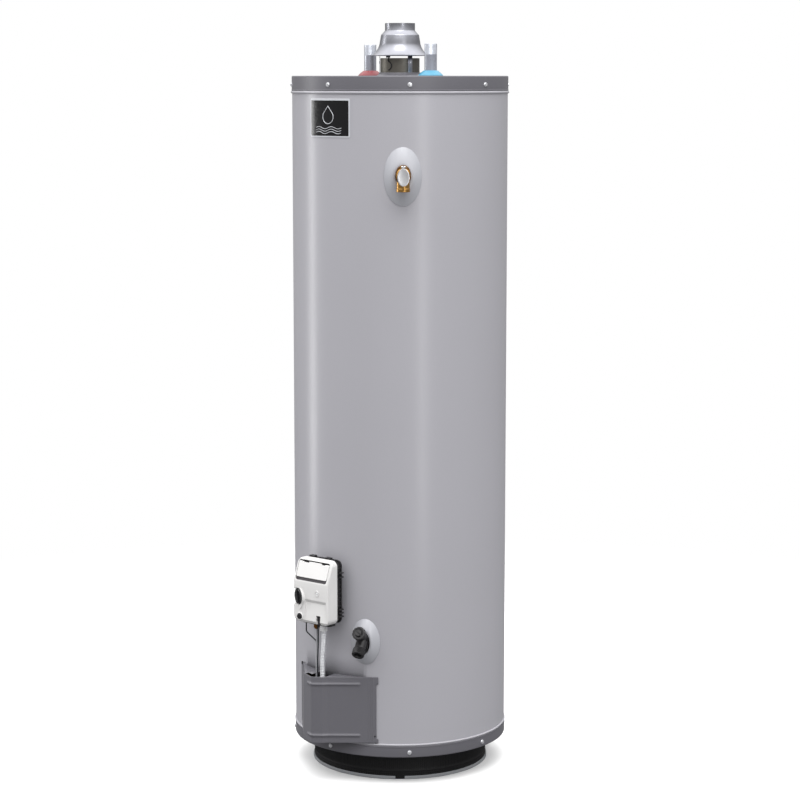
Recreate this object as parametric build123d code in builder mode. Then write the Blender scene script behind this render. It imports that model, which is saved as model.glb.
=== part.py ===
from build123d import *
import math
import os

# Tall forty-gallon atmospheric gas water heater. Millimetres, +Z up, origin on the tank axis at the
# floor. The front (gas control and burner door) faces -Y. An angle is measured from the front,
# positive towards +X, and "out" is the distance from the tank axis.

# ---- driving dimensions ----
JACKET_R = 228.6          # 18 in jacket
SHEET = 0.8               # jacket and cover sheet
JACKET_TOP = 1482.0
BOTTOM_COVER_Z = 59.0     # underside of the bottom cover
COVER_SKIRT = 31.0        # height of the top cover's flange
BOTTOM_SKIRT = 24.0
UPPER_BEAD_Z = 1448.0
LOWER_BEAD_Z = 86.4
BEAD_R = 2.2
SCREW_COUNT = 8
TOP_SCREW_Z = 1464.0
BOTTOM_SCREW_Z = 70.0
SCREW_HEAD_R = 4.7
SCREW_SHANK_R = 1.9
BASE_R = 188.0            # air intake ring below the bottom cover
TRIM_HEIGHT = 7.0
TRIM_GAP = 20.0
TRIM_GAP_ANGLE = 40.0

TANK_R = 203.2            # 16 in tank
TANK_WALL = 2.0
SKIRT_Z = 60.4
TANK_BOTTOM = 262.0
TANK_TOP = 1400.0
HEAD_RISE = 38.0
FLUE_R = 41.5
FLUE_WALL = 1.5
FLUE_TOP = 1519.0
NIPPLE_SPACING = 203.2    # 8 in between hot and cold
COLD_ANGLE = 79.0
THREAD_R = 13.35          # 3/4 in pipe thread
PIPE_R = 13.0
NIPPLE_BORE = 10.4
NIPPLE_TOP = 1548.5
NIPPLE_THREAD = 22.0
RING_R = 26.0
RING_HEIGHT = 11.0
SPUD_R = 20.0

HOOD_TOP = 1592.0
COLLAR_R = 31.75          # 2 1/2 in vent
BELL_R = 40.5
FLARE_R = 60.0
HOOD_SHEET = 0.8

RELIEF_ANGLE = 41.4
RELIEF_Z = 1279.0
RELIEF_BONNET_Z = 1288.0
RELIEF_BONNET_R = 15.2
RELIEF_OUTLET_OUT = 259.0
RELIEF_OUTLET_Z = 1249.0
PORT_TAP_R = 12.1         # 3/4 in pipe tap
LEVER_PIVOT = (278.0, 1300.0)

DRAIN_ANGLE = 21.4
DRAIN_Z = 302.0
DRAIN_TILT = 30.0         # the stem and its knob point this far up
HOSE_THREAD_R = 13.4      # 3/4 in garden hose thread
STEM_ROOT = (250.0, 323.0)
OUTLET_ROOT = (252.0, 309.5)
OUTLET_TILT = 42.0        # the hose outlet points this far down

CONTROL_Z = 410.0
CONTROL_LEFT = -54.0
CONTROL_RIGHT = 47.0
PLATE_RIGHT = 49.6
CONTROL_BACK = 244.0      # out
COVER_BACK = 258.8
COVER_FRONT = 288.0
COVER_BOTTOM = 346.0
COVER_TOP = 481.0
COVER_WALL = 2.2
SLOPE_BOTTOM = (288.0, 432.0)
SLOPE_TOP = (272.0, 478.0)
KNOB_X, KNOB_OUT, KNOB_Z = -39.7, 287.0, 399.0
KNOB_R = 16.0
KNOB_WELL_R = 16.6
KNOB_TURN = -22.0         # the gas knob faces a little to the left
BUTTON_X, BUTTON_Z = -33.5, 357.5
BUTTON_R = 5.6
LIGHT_X, LIGHT_Z = 16.0, 412.0

DOOR_BOTTOM = 89.5
DOOR_TOP = 232.6
DOOR_SHEET = 0.9
TUBE_BEND = 24.0
INNER_DOOR_OUT = 205.6
DOOR_BOLTS = [(-73, -49), (-73, 49), (73, -49), (73, 49)]
DOOR_PLAN = [
    (-104.0, -205.6),
    (-95.5, -211.4),
    (-36.0, -274.0),
    (0.0, -289.5),
    (18.5, -276.5),
    (26.5, -267.5),
    (93.5, -212.6),
    (107.5, -203.9),
]

SPUD_ROOT = 1418.0        # where the pipes stand on the tank's top head
NIPPLE_ANGLES = (COLD_ANGLE, COLD_ANGLE + 180)
SIDE_PORTS = ((RELIEF_ANGLE, RELIEF_Z), (DRAIN_ANGLE, DRAIN_Z), (0, CONTROL_Z))

os.makedirs("parts", exist_ok=True)


# ---- helpers ----
def outward(angle, out=0.0, height=0.0):
    """Plane facing out from the axis, x to the right as seen from outside, y up."""
    a = math.radians(angle)
    direction = Vector(math.sin(a), -math.cos(a), 0)
    along = Vector(math.cos(a), math.sin(a), 0)
    return Plane(origin=direction * out + Vector(0, 0, height), x_dir=along, z_dir=direction)


def tilted(angle, out, height, tilt):
    """As outward, with its normal tilted up by tilt degrees."""
    base = outward(angle, out, height)
    t = math.radians(tilt)
    normal = base.z_dir * math.cos(t) + Vector(0, 0, math.sin(t))
    return Plane(origin=base.origin, x_dir=base.x_dir, z_dir=normal)


def spot(angle, out, height):
    """A point at an angle, a distance from the axis and a height."""
    return outward(angle, out, height).origin


def save(builder, label):
    """Label a finished sub-part and write its STEP."""
    builder.part.label = label
    export_step(builder.part, f"parts/{label}.step")


def outline(points, plane=Plane.XZ):
    """Closed straight-sided sketch through points on a plane."""
    with BuildSketch(plane) as sketch:
        with BuildLine():
            Polyline(*points, close=True)
        make_face()
    return sketch.sketch


# ---- outer casing ----
with BuildPart() as jacket:
    with BuildSketch(Plane.XY.offset(66)):
        Circle(JACKET_R)
        Circle(JACKET_R - SHEET, mode=Mode.SUBTRACT)
    extrude(amount=1470 - 66)
    for bead_z in (LOWER_BEAD_Z, UPPER_BEAD_Z):
        with BuildSketch(Plane.XZ):
            with Locations((JACKET_R, bead_z)):
                Circle(BEAD_R)
            with Locations((JACKET_R - SHEET / 2 - 5, bead_z)):
                Rectangle(10, 10, mode=Mode.SUBTRACT)
        revolve(axis=Axis.Z)
    # lock seam down the back
    with BuildSketch(outward(180, JACKET_R - 0.4, 767)):
        Rectangle(14, 1340)
    extrude(amount=1.4)
    # access to the burner, and holes for the three side fittings
    with BuildSketch(outward(0, 150, 157)):
        RectangleRounded(164, 122, 8)
    extrude(amount=90, mode=Mode.SUBTRACT)
    for angle, height in SIDE_PORTS:
        with BuildSketch(outward(angle, 150, height)):
            Circle(SPUD_R + 1)
        extrude(amount=90, mode=Mode.SUBTRACT)
    for z in (TOP_SCREW_Z, BOTTOM_SCREW_Z):
        for i in range(SCREW_COUNT):
            with BuildSketch(outward(i * 45, JACKET_R - 6, z)):
                Circle(SCREW_SHANK_R + 0.1)
            extrude(amount=12, mode=Mode.SUBTRACT)
save(jacket, "jacket")

COVER_R = JACKET_R + 0.1 + SHEET
with BuildPart() as top_cover:
    with BuildSketch(Plane.XZ):
        with BuildLine():
            Polyline(
                (FLUE_R + 2.5, JACKET_TOP - SHEET),
                (COVER_R - SHEET, JACKET_TOP - SHEET),
                (COVER_R - SHEET, JACKET_TOP - COVER_SKIRT),
                (COVER_R, JACKET_TOP - COVER_SKIRT),
                (COVER_R, JACKET_TOP - 2.5),
            )
            RadiusArc((COVER_R, JACKET_TOP - 2.5), (COVER_R - 2.5, JACKET_TOP), -2.5)
            Polyline(
                (COVER_R - 2.5, JACKET_TOP),
                (FLUE_R + 2.5, JACKET_TOP),
                (FLUE_R + 2.5, JACKET_TOP - SHEET),
            )
        make_face()
    revolve(axis=Axis.Z)
    with BuildSketch(Plane.XY.offset(JACKET_TOP - 5)):
        for angle in NIPPLE_ANGLES:
            x, y, _ = spot(angle, NIPPLE_SPACING / 2, 0)
            with Locations((x, y)):
                Circle(PIPE_R + 1)
    extrude(amount=10, mode=Mode.SUBTRACT)
    for i in range(SCREW_COUNT):
        with BuildSketch(outward(i * 45, JACKET_R - 6, TOP_SCREW_Z)):
            Circle(SCREW_SHANK_R + 0.1)
        extrude(amount=12, mode=Mode.SUBTRACT)
save(top_cover, "top_cover")

with BuildPart() as bottom_cover:
    with BuildSketch(Plane.XZ):
        with BuildLine():
            Polyline(
                (BASE_R - 10, BOTTOM_COVER_Z + SHEET),
                (COVER_R - SHEET, BOTTOM_COVER_Z + SHEET),
                (COVER_R - SHEET, BOTTOM_COVER_Z + BOTTOM_SKIRT),
                (COVER_R, BOTTOM_COVER_Z + BOTTOM_SKIRT),
                (COVER_R, BOTTOM_COVER_Z + 2.5),
            )
            RadiusArc((COVER_R, BOTTOM_COVER_Z + 2.5), (COVER_R - 2.5, BOTTOM_COVER_Z), 2.5)
            Polyline(
                (COVER_R - 2.5, BOTTOM_COVER_Z),
                (BASE_R - 10, BOTTOM_COVER_Z),
                (BASE_R - 10, BOTTOM_COVER_Z + SHEET),
            )
        make_face()
    revolve(axis=Axis.Z)
    for i in range(SCREW_COUNT):
        with BuildSketch(outward(i * 45, JACKET_R - 6, BOTTOM_SCREW_Z)):
            Circle(SCREW_SHANK_R + 0.1)
        extrude(amount=12, mode=Mode.SUBTRACT)
save(bottom_cover, "bottom_cover")


def cover_screws(height):
    """Ring of hex washer-head screws holding a cover to the jacket."""
    with BuildPart() as screws:
        for i in range(SCREW_COUNT):
            with BuildSketch(outward(i * 45, JACKET_R - 5, height)):
                Circle(SCREW_SHANK_R)
            extrude(amount=8)
            with BuildSketch(outward(i * 45, COVER_R + 0.05, height)):
                Circle(SCREW_HEAD_R)
            extrude(amount=1.0)
            with BuildSketch(outward(i * 45, COVER_R + 1.0, height)):
                RegularPolygon(SCREW_HEAD_R - 1.0, 6)
            extrude(amount=2.0)
    return screws


save(cover_screws(TOP_SCREW_Z), "top_cover_screws")
save(cover_screws(BOTTOM_SCREW_Z), "bottom_cover_screws")

with BuildPart() as nameplate:
    with BuildSketch(Plane.XY.offset(1357)):
        Circle(JACKET_R + 1.5)
        Circle(JACKET_R + 0.05, mode=Mode.SUBTRACT)
    extrude(amount=79)
    with BuildSketch(outward(0, 150, 1396.5)):
        RectangleRounded(108, 79, 3)
    extrude(amount=90, mode=Mode.INTERSECT)
save(nameplate, "nameplate")

# ---- base ----
with BuildPart() as base_pan:
    with BuildSketch(Plane.XY):
        Circle(BASE_R - 0.1)
    extrude(amount=1.0)
save(base_pan, "base_pan")

with BuildPart() as base_ring:
    with BuildSketch(Plane.XY.offset(1.0)):
        Circle(BASE_R - 0.1)
        Circle(BASE_R - 1.3, mode=Mode.SUBTRACT)
    extrude(amount=BOTTOM_COVER_Z - 1.0)
save(base_ring, "air_intake_ring")

with BuildPart() as base_trim:
    with BuildSketch(Plane.XY):
        Circle(BASE_R + 2.4)
        Circle(BASE_R, mode=Mode.SUBTRACT)
    extrude(amount=TRIM_HEIGHT)
    with BuildSketch(outward(TRIM_GAP_ANGLE, 150, 0)):
        Rectangle(TRIM_GAP, 40)
    extrude(amount=60, mode=Mode.SUBTRACT)
save(base_trim, "base_trim_ring")

# ---- insulation ----
with BuildPart() as foam:
    with BuildSketch(Plane.XZ):
        with BuildLine():
            Polyline(
                (TANK_R, 250),
                (JACKET_R - SHEET, 250),
                (JACKET_R - SHEET, 1445),
                (JACKET_R - 12, 1450),
                (JACKET_R - 12, JACKET_TOP - SHEET - 0.2),
                (FLUE_R, JACKET_TOP - SHEET - 0.2),
                (FLUE_R, 1462),
                (TANK_R, 1462),
                close=True,
            )
        make_face()
    revolve(axis=Axis.Z)
    for angle in NIPPLE_ANGLES:
        with BuildSketch(Plane.XY.offset(1455)):
            x, y, _ = spot(angle, NIPPLE_SPACING / 2, 0)
            with Locations((x, y)):
                Circle(PIPE_R)
        extrude(amount=40, mode=Mode.SUBTRACT)
    for angle, height in SIDE_PORTS:
        with BuildSketch(outward(angle, 150, height)):
            Circle(SPUD_R + 1)
        extrude(amount=90, mode=Mode.SUBTRACT)
save(foam, "foam_insulation")

with BuildPart() as chamber_blanket:
    with BuildSketch(Plane.XY.offset(78)):
        Circle(JACKET_R - SHEET)
        Circle(INNER_DOOR_OUT + 2, mode=Mode.SUBTRACT)
    extrude(amount=170)
    with BuildSketch(outward(0, 100, 160)):
        Rectangle(210, 190)
    extrude(amount=140, mode=Mode.SUBTRACT)
save(chamber_blanket, "chamber_insulation")

# ---- tank ----
with BuildPart() as tank_shell:
    with BuildSketch(Plane.XY.offset(TANK_BOTTOM)):
        Circle(TANK_R)
        Circle(TANK_R - TANK_WALL, mode=Mode.SUBTRACT)
    extrude(amount=TANK_TOP - TANK_BOTTOM)
    for angle, height in SIDE_PORTS:
        with BuildSketch(outward(angle, 150, height)):
            Circle(SPUD_R)
        extrude(amount=90, mode=Mode.SUBTRACT)
save(tank_shell, "tank_shell")

DOME_R = ((TANK_R - TANK_WALL) ** 2 + HEAD_RISE**2) / (2 * HEAD_RISE)


def head_profile(edge_z):
    """Half section of a shallow domed head, crown up, with a hole for the flue."""
    outer = TANK_R - TANK_WALL
    flue_drop = DOME_R - math.sqrt(DOME_R**2 - FLUE_R**2)
    flue_z = edge_z + HEAD_RISE - flue_drop
    mid_r = outer / 2
    mid_z = edge_z + HEAD_RISE - (DOME_R - math.sqrt(DOME_R**2 - mid_r**2))
    wall = 2.6
    with BuildSketch(Plane.XZ) as sketch:
        with BuildLine():
            ThreePointArc((outer, edge_z), (mid_r, mid_z), (FLUE_R, flue_z))
            Line((FLUE_R, flue_z), (FLUE_R, flue_z + wall))
            ThreePointArc((FLUE_R, flue_z + wall), (mid_r, mid_z + wall), (outer, edge_z + wall))
            Line((outer, edge_z + wall), (outer, edge_z))
        make_face()
    return sketch.sketch


ANODE_ANGLE = 340.0
ANODE_OUT = 120.0
with BuildPart() as top_head:
    revolve(head_profile(TANK_TOP - 4), axis=Axis.Z)
    for angle, out, radius in (
        (COLD_ANGLE, NIPPLE_SPACING / 2, SPUD_R),
        (COLD_ANGLE + 180, NIPPLE_SPACING / 2, SPUD_R),
        (ANODE_ANGLE, ANODE_OUT, SPUD_R),
    ):
        with BuildSketch(Plane.XY.offset(1380)):
            x, y, _ = spot(angle, out, 0)
            with Locations((x, y)):
                Circle(radius)
        extrude(amount=80, mode=Mode.SUBTRACT)
save(top_head, "tank_top_head")

with BuildPart() as bottom_head:
    revolve(head_profile(TANK_BOTTOM), axis=Axis.Z)
save(bottom_head, "tank_bottom_head")

with BuildPart() as spuds:
    for angle, out, bore in (
        (COLD_ANGLE, NIPPLE_SPACING / 2, PIPE_R),
        (COLD_ANGLE + 180, NIPPLE_SPACING / 2, PIPE_R),
        (ANODE_ANGLE, ANODE_OUT, 12.0),
    ):
        with BuildSketch(Plane.XY.offset(SPUD_ROOT)):
            x, y, _ = spot(angle, out, 0)
            with Locations((x, y)):
                Circle(SPUD_R)
                Circle(bore, mode=Mode.SUBTRACT)
        extrude(amount=28)
    for angle, height in SIDE_PORTS:
        with BuildSketch(outward(angle, 197, height)):
            Circle(SPUD_R)
            Circle(PIPE_R, mode=Mode.SUBTRACT)
        extrude(amount=20)
save(spuds, "tank_spuds")

with BuildPart() as skirt:
    with BuildSketch(Plane.XY.offset(SKIRT_Z)):
        Circle(TANK_R)
        Circle(TANK_R - TANK_WALL, mode=Mode.SUBTRACT)
    extrude(amount=TANK_BOTTOM - SKIRT_Z)
    with BuildSketch(Plane.XY.offset(SKIRT_Z)):
        Circle(TANK_R - TANK_WALL)
        Circle(115, mode=Mode.SUBTRACT)
    extrude(amount=1.5)
    with BuildSketch(outward(0, 120, 153)):
        RectangleRounded(140, 92, 6)
        with Locations(*DOOR_BOLTS):
            Circle(2.1)
    extrude(amount=100, mode=Mode.SUBTRACT)
save(skirt, "combustion_chamber")

with BuildPart() as arrestor:
    with BuildSketch(Plane.XY.offset(SKIRT_Z)):
        Circle(115)
    extrude(amount=5)
    with BuildSketch(Plane.XY.offset(SKIRT_Z)):
        with PolarLocations(70, 12):
            Rectangle(60, 3)
    extrude(amount=5, mode=Mode.SUBTRACT)
save(arrestor, "flame_arrestor")

with BuildPart() as flue:
    with BuildSketch(Plane.XY.offset(285)):
        Circle(FLUE_R)
        Circle(FLUE_R - FLUE_WALL, mode=Mode.SUBTRACT)
    extrude(amount=FLUE_TOP - 285)
save(flue, "flue_tube")

# folded strip that slows the gas, with a hanger at its top
BAFFLE_WIDTH = 54.0
BAFFLE_HALF_FOLD = 14.0
BAFFLE_FOLDS = 22
BAFFLE_BOTTOM = 340.0
BAFFLE_TOP = 1500.0
baffle_line = [
    (BAFFLE_HALF_FOLD * (-1) ** i, BAFFLE_BOTTOM + i * (BAFFLE_TOP - BAFFLE_BOTTOM) / BAFFLE_FOLDS)
    for i in range(BAFFLE_FOLDS + 1)
]
baffle_back = [(x + 1.6, z) for x, z in reversed(baffle_line)]
with BuildPart() as baffle:
    add(extrude(outline(baffle_line + baffle_back), amount=BAFFLE_WIDTH / 2, both=True, mode=Mode.PRIVATE))
save(baffle, "flue_baffle")


def nipple(angle):
    """Pipe nipple standing on the tank."""
    x, y, _ = spot(angle, NIPPLE_SPACING / 2, 0)
    with BuildPart() as pipe:
        with BuildSketch(Plane.XY.offset(SPUD_ROOT)):
            with Locations((x, y)):
                Circle(PIPE_R)
                Circle(NIPPLE_BORE, mode=Mode.SUBTRACT)
        extrude(amount=NIPPLE_TOP - NIPPLE_THREAD - SPUD_ROOT)
        with BuildSketch(Plane.XY.offset(NIPPLE_TOP - NIPPLE_THREAD)):
            with Locations((x, y)):
                Circle(THREAD_R)
                Circle(NIPPLE_BORE, mode=Mode.SUBTRACT)
        extrude(amount=NIPPLE_THREAD)
        chamfer(pipe.edges().group_by(Axis.Z)[-1].filter_by(GeomType.CIRCLE), length=0.8)
    return pipe


def nipple_ring(angle):
    """Coloured cone that marks a nipple and closes its hole in the top cover."""
    x, y, _ = spot(angle, NIPPLE_SPACING / 2, 0)
    with BuildPart() as ring:
        with BuildSketch(Plane.XY.offset(JACKET_TOP)):
            with Locations((x, y)):
                Circle(RING_R)
        extrude(amount=2)
        with BuildSketch(Plane.XY.offset(JACKET_TOP + 2)):
            with Locations((x, y)):
                Circle(RING_R - 1)
        with BuildSketch(Plane.XY.offset(JACKET_TOP + RING_HEIGHT)):
            with Locations((x, y)):
                Circle(PIPE_R + 2)
        loft()
        with BuildSketch(Plane.XY.offset(JACKET_TOP)):
            with Locations((x, y)):
                Circle(PIPE_R + 0.05)
        extrude(amount=RING_HEIGHT, mode=Mode.SUBTRACT)
    return ring


save(nipple(COLD_ANGLE), "cold_nipple")
save(nipple(COLD_ANGLE + 180), "hot_nipple")
save(nipple_ring(COLD_ANGLE), "cold_ring")
save(nipple_ring(COLD_ANGLE + 180), "hot_ring")

with BuildPart() as dip_tube:
    x, y, _ = spot(COLD_ANGLE, NIPPLE_SPACING / 2, 0)
    with BuildSketch(Plane.XY.offset(480)):
        with Locations((x, y)):
            Circle(9.2)
            Circle(7.6, mode=Mode.SUBTRACT)
    extrude(amount=1000)
    with BuildSketch(Plane.XY.offset(1476)):
        with Locations((x, y)):
            Circle(NIPPLE_BORE)
            Circle(7.6, mode=Mode.SUBTRACT)
    extrude(amount=4)
save(dip_tube, "dip_tube")

with BuildPart() as anode:
    x, y, _ = spot(ANODE_ANGLE, ANODE_OUT, 0)
    with BuildSketch(Plane.XY.offset(600)):
        with Locations((x, y)):
            Circle(10)
    extrude(amount=SPUD_ROOT - 600)
    with BuildSketch(Plane.XY.offset(SPUD_ROOT)):
        with Locations((x, y)):
            Circle(12)
    extrude(amount=28)
    with BuildSketch(Plane.XY.offset(1446)):
        with Locations((x, y)):
            RegularPolygon(15, 6)
    extrude(amount=9)
save(anode, "anode_rod")

# ---- draft hood ----
HOOD_CURVE = [
    (COLLAR_R, HOOD_TOP),
    (COLLAR_R, HOOD_TOP - 16),
    (BELL_R - 1.3, HOOD_TOP - 23.8),
    (BELL_R, HOOD_TOP - 25.8),
    (BELL_R + 2.3, HOOD_TOP - 41),
]
HOOD_LIP_Z = HOOD_TOP - 67
with BuildPart() as draft_hood:
    with BuildSketch(Plane.XZ):
        with BuildLine():
            Polyline(*HOOD_CURVE)
            Spline(
                HOOD_CURVE[-1],
                (BELL_R + 8.0, HOOD_TOP - 55),
                (FLARE_R, HOOD_LIP_Z),
                tangents=((0.15, -1), (1, -0.65)),
            )
            Line((FLARE_R, HOOD_LIP_Z), (FLARE_R - HOOD_SHEET, HOOD_LIP_Z - 0.6))
            Spline(
                (FLARE_R - HOOD_SHEET, HOOD_LIP_Z - 0.6),
                (BELL_R + 7.1, HOOD_TOP - 55.6),
                (BELL_R + 2.3 - HOOD_SHEET, HOOD_TOP - 41),
                tangents=((-1, 0.65), (-0.15, 1)),
            )
            Polyline(
                (BELL_R + 2.3 - HOOD_SHEET, HOOD_TOP - 41),
                (BELL_R - HOOD_SHEET, HOOD_TOP - 26.2),
                (COLLAR_R - HOOD_SHEET, HOOD_TOP - 16.6),
                (COLLAR_R - HOOD_SHEET, HOOD_TOP),
                (COLLAR_R, HOOD_TOP),
            )
        make_face()
    revolve(axis=Axis.Z)
save(draft_hood, "draft_hood")

LEG_ANGLES = (70.0, 190.0, 310.0)
LEG_IN = 42.3
LEG_ARC = 27.0
LEG_TOP = HOOD_TOP - 46.5
with BuildPart() as hood_legs:
    for angle in LEG_ANGLES:
        leg_axis_plane = Plane(
            origin=(0, 0, 0),
            x_dir=spot(angle - LEG_ARC / 2, 1, 0),
            z_dir=outward(angle - LEG_ARC / 2).x_dir * -1,
        )
        with BuildSketch(leg_axis_plane):
            with BuildLine():
                Polyline(
                    (LEG_IN, JACKET_TOP),
                    (LEG_IN + 9, JACKET_TOP),
                    (LEG_IN + 9, JACKET_TOP + 1),
                    (LEG_IN + 1, JACKET_TOP + 1),
                    (LEG_IN + 1, LEG_TOP),
                    (LEG_IN, LEG_TOP),
                    close=True,
                )
            make_face()
        revolve(axis=Axis.Z, revolution_arc=LEG_ARC)
save(hood_legs, "draft_hood_legs")

# ---- relief valve ----
with BuildPart() as relief_dome:
    for out, half_width, half_height in ((222, 39, 60), (234, 30.5, 46.5), (241, 19.5, 25.5)):
        with BuildSketch(outward(RELIEF_ANGLE, out, RELIEF_Z)):
            Ellipse(half_width, half_height)
    loft()
    for out, half_width, half_height in ((221, 38, 59), (232.5, 29.5, 45.5), (239.5, 18.5, 24.5)):
        with BuildSketch(outward(RELIEF_ANGLE, out, RELIEF_Z)):
            Ellipse(half_width, half_height)
    loft(mode=Mode.SUBTRACT)
    with BuildSketch(Plane.XY.offset(RELIEF_Z - 80)):
        Circle(JACKET_R + 0.05)
    extrude(amount=160, mode=Mode.SUBTRACT)
    with BuildSketch(outward(RELIEF_ANGLE, 225, RELIEF_Z)):
        Circle(16)
    extrude(amount=30, mode=Mode.SUBTRACT)
save(relief_dome, "relief_escutcheon")

with BuildPart() as relief_body:
    with BuildSketch(outward(RELIEF_ANGLE, 197, RELIEF_Z)):
        Circle(PIPE_R)
    extrude(amount=47)
    with BuildSketch(outward(RELIEF_ANGLE, 243, RELIEF_Z)):
        RegularPolygon(RELIEF_BONNET_R + 0.3, 6)
    extrude(amount=8)
    with BuildSketch(outward(RELIEF_ANGLE, 251, RELIEF_BONNET_Z)):
        Circle(RELIEF_BONNET_R)
    extrude(amount=19)
    with BuildSketch(outward(RELIEF_ANGLE, 270, RELIEF_BONNET_Z)):
        Circle(12)
    extrude(amount=4)
    outlet = spot(RELIEF_ANGLE, RELIEF_OUTLET_OUT, RELIEF_OUTLET_Z)
    with BuildSketch(Plane(origin=outlet, x_dir=outward(RELIEF_ANGLE).x_dir, z_dir=(0, 0, 1))):
        Circle(14.2)
    extrude(amount=35)
    # lever ears
    with BuildSketch(outward(RELIEF_ANGLE, 262, LEVER_PIVOT[1] - 3)):
        with Locations((-8.2, 0), (8.2, 0)):
            Rectangle(2.4, 11)
    extrude(amount=19)
    # water way: in from the tank, down and out through the tapped outlet
    with BuildSketch(outward(RELIEF_ANGLE, 197, RELIEF_Z)):
        Circle(8.5)
    extrude(amount=62, mode=Mode.SUBTRACT)
    with BuildSketch(Plane(origin=outlet, x_dir=outward(RELIEF_ANGLE).x_dir, z_dir=(0, 0, 1))):
        Circle(PORT_TAP_R)
    extrude(amount=18, mode=Mode.SUBTRACT)
    with BuildSketch(Plane(origin=outlet, x_dir=outward(RELIEF_ANGLE).x_dir, z_dir=(0, 0, 1))):
        Circle(8)
    extrude(amount=31, mode=Mode.SUBTRACT)
    # stem bore, and the lever pin's holes
    with BuildSketch(outward(RELIEF_ANGLE, 257, RELIEF_BONNET_Z)):
        Circle(3.05)
    extrude(amount=18, mode=Mode.SUBTRACT)
    pin_plane = Plane(
        origin=spot(RELIEF_ANGLE, *LEVER_PIVOT),
        x_dir=(0, 0, 1),
        z_dir=outward(RELIEF_ANGLE).x_dir,
    )
    with BuildSketch(pin_plane):
        Circle(1.25)
    extrude(amount=12, both=True, mode=Mode.SUBTRACT)
save(relief_body, "relief_valve_body")

with BuildPart() as relief_pin:
    with BuildSketch(pin_plane):
        Circle(1.25)
    extrude(amount=10.2, both=True)
save(relief_pin, "relief_lever_pin")

with BuildPart() as relief_stem:
    with BuildSketch(outward(RELIEF_ANGLE, 262, RELIEF_BONNET_Z)):
        Circle(3)
    extrude(amount=13)
    with BuildSketch(outward(RELIEF_ANGLE, 274.4, RELIEF_BONNET_Z)):
        Circle(5)
    extrude(amount=1.6)
save(relief_stem, "relief_valve_stem")

with BuildPart() as relief_lever:
    with BuildSketch(pin_plane):
        Circle(2.3)
    extrude(amount=6.6, both=True)
    with BuildSketch(outward(RELIEF_ANGLE, 276.6, 1279.5)):
        Rectangle(12, 41)
    extrude(amount=1.8)
    with BuildSketch(outward(RELIEF_ANGLE, 276.6, 1256)):
        RectangleRounded(16, 12, 3)
    extrude(amount=1.8)
    with BuildSketch(pin_plane):
        Circle(1.3)
    extrude(amount=8, both=True, mode=Mode.SUBTRACT)
save(relief_lever, "relief_valve_lever")

with BuildPart() as relief_tag:
    with BuildSketch(outward(RELIEF_ANGLE, 281, 1279.2)):
        Ellipse(12.2, 17.8)
    extrude(amount=0.8)
    with BuildSketch(outward(RELIEF_ANGLE, 281, 1299)):
        Rectangle(2.6, 8.4)
    extrude(amount=0.8)
    with BuildSketch(outward(RELIEF_ANGLE, 278.4, 1302.8)):
        Rectangle(2.6, 0.8)
    extrude(amount=3.4)
    with BuildSketch(outward(RELIEF_ANGLE, 278.4, 1290)):
        Rectangle(2.6, 1.6)
    extrude(amount=3)
save(relief_tag, "relief_valve_tag")

with BuildPart() as relief_probe:
    with BuildSketch(outward(RELIEF_ANGLE, 95, RELIEF_Z)):
        Circle(4)
    extrude(amount=160)
save(relief_probe, "relief_valve_probe")

# ---- drain valve ----
with BuildPart() as drain_dome:
    for out, half_width, half_height in ((222, 32, 48.7), (233, 26, 40), (242, 17.5, 28.5)):
        with BuildSketch(outward(DRAIN_ANGLE, out, DRAIN_Z + 5)):
            Ellipse(half_width, half_height)
    loft()
    for out, half_width, half_height in ((221, 31, 47.7), (231.5, 25, 39), (240.5, 16.5, 27.5)):
        with BuildSketch(outward(DRAIN_ANGLE, out, DRAIN_Z + 5)):
            Ellipse(half_width, half_height)
    loft(mode=Mode.SUBTRACT)
    with BuildSketch(Plane.XY.offset(DRAIN_Z - 80)):
        Circle(JACKET_R + 0.05)
    extrude(amount=160, mode=Mode.SUBTRACT)
    with BuildSketch(outward(DRAIN_ANGLE, 225, DRAIN_Z + 5)):
        Ellipse(14.5, 25)
    extrude(amount=30, mode=Mode.SUBTRACT)
save(drain_dome, "drain_escutcheon")

with BuildPart() as drain_body:
    with BuildSketch(outward(DRAIN_ANGLE, 197, DRAIN_Z)):
        Circle(PIPE_R)
    extrude(amount=46)
    with BuildSketch(outward(DRAIN_ANGLE, 236, DRAIN_Z + 6)):
        RectangleRounded(22, 42, 10)
    extrude(amount=12)
    with BuildSketch(outward(DRAIN_ANGLE, 244, 315)):
        RectangleRounded(18, 34, 8)
    extrude(amount=10)
    with BuildSketch(tilted(DRAIN_ANGLE, *STEM_ROOT, DRAIN_TILT)):
        Circle(10.5)
    extrude(amount=15.5)
    with BuildSketch(tilted(DRAIN_ANGLE, *OUTLET_ROOT, -OUTLET_TILT)):
        Circle(11.5)
    extrude(amount=18)
    with BuildSketch(tilted(DRAIN_ANGLE, *OUTLET_ROOT, -OUTLET_TILT).offset(18)):
        Circle(HOSE_THREAD_R)
    extrude(amount=14)
    with BuildSketch(tilted(DRAIN_ANGLE, *OUTLET_ROOT, -OUTLET_TILT)):
        Circle(8)
    extrude(amount=40, mode=Mode.SUBTRACT)
    with BuildSketch(tilted(DRAIN_ANGLE, *STEM_ROOT, DRAIN_TILT).offset(3)):
        Circle(5.05)
    extrude(amount=20, mode=Mode.SUBTRACT)
save(drain_body, "drain_valve_body")

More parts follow.
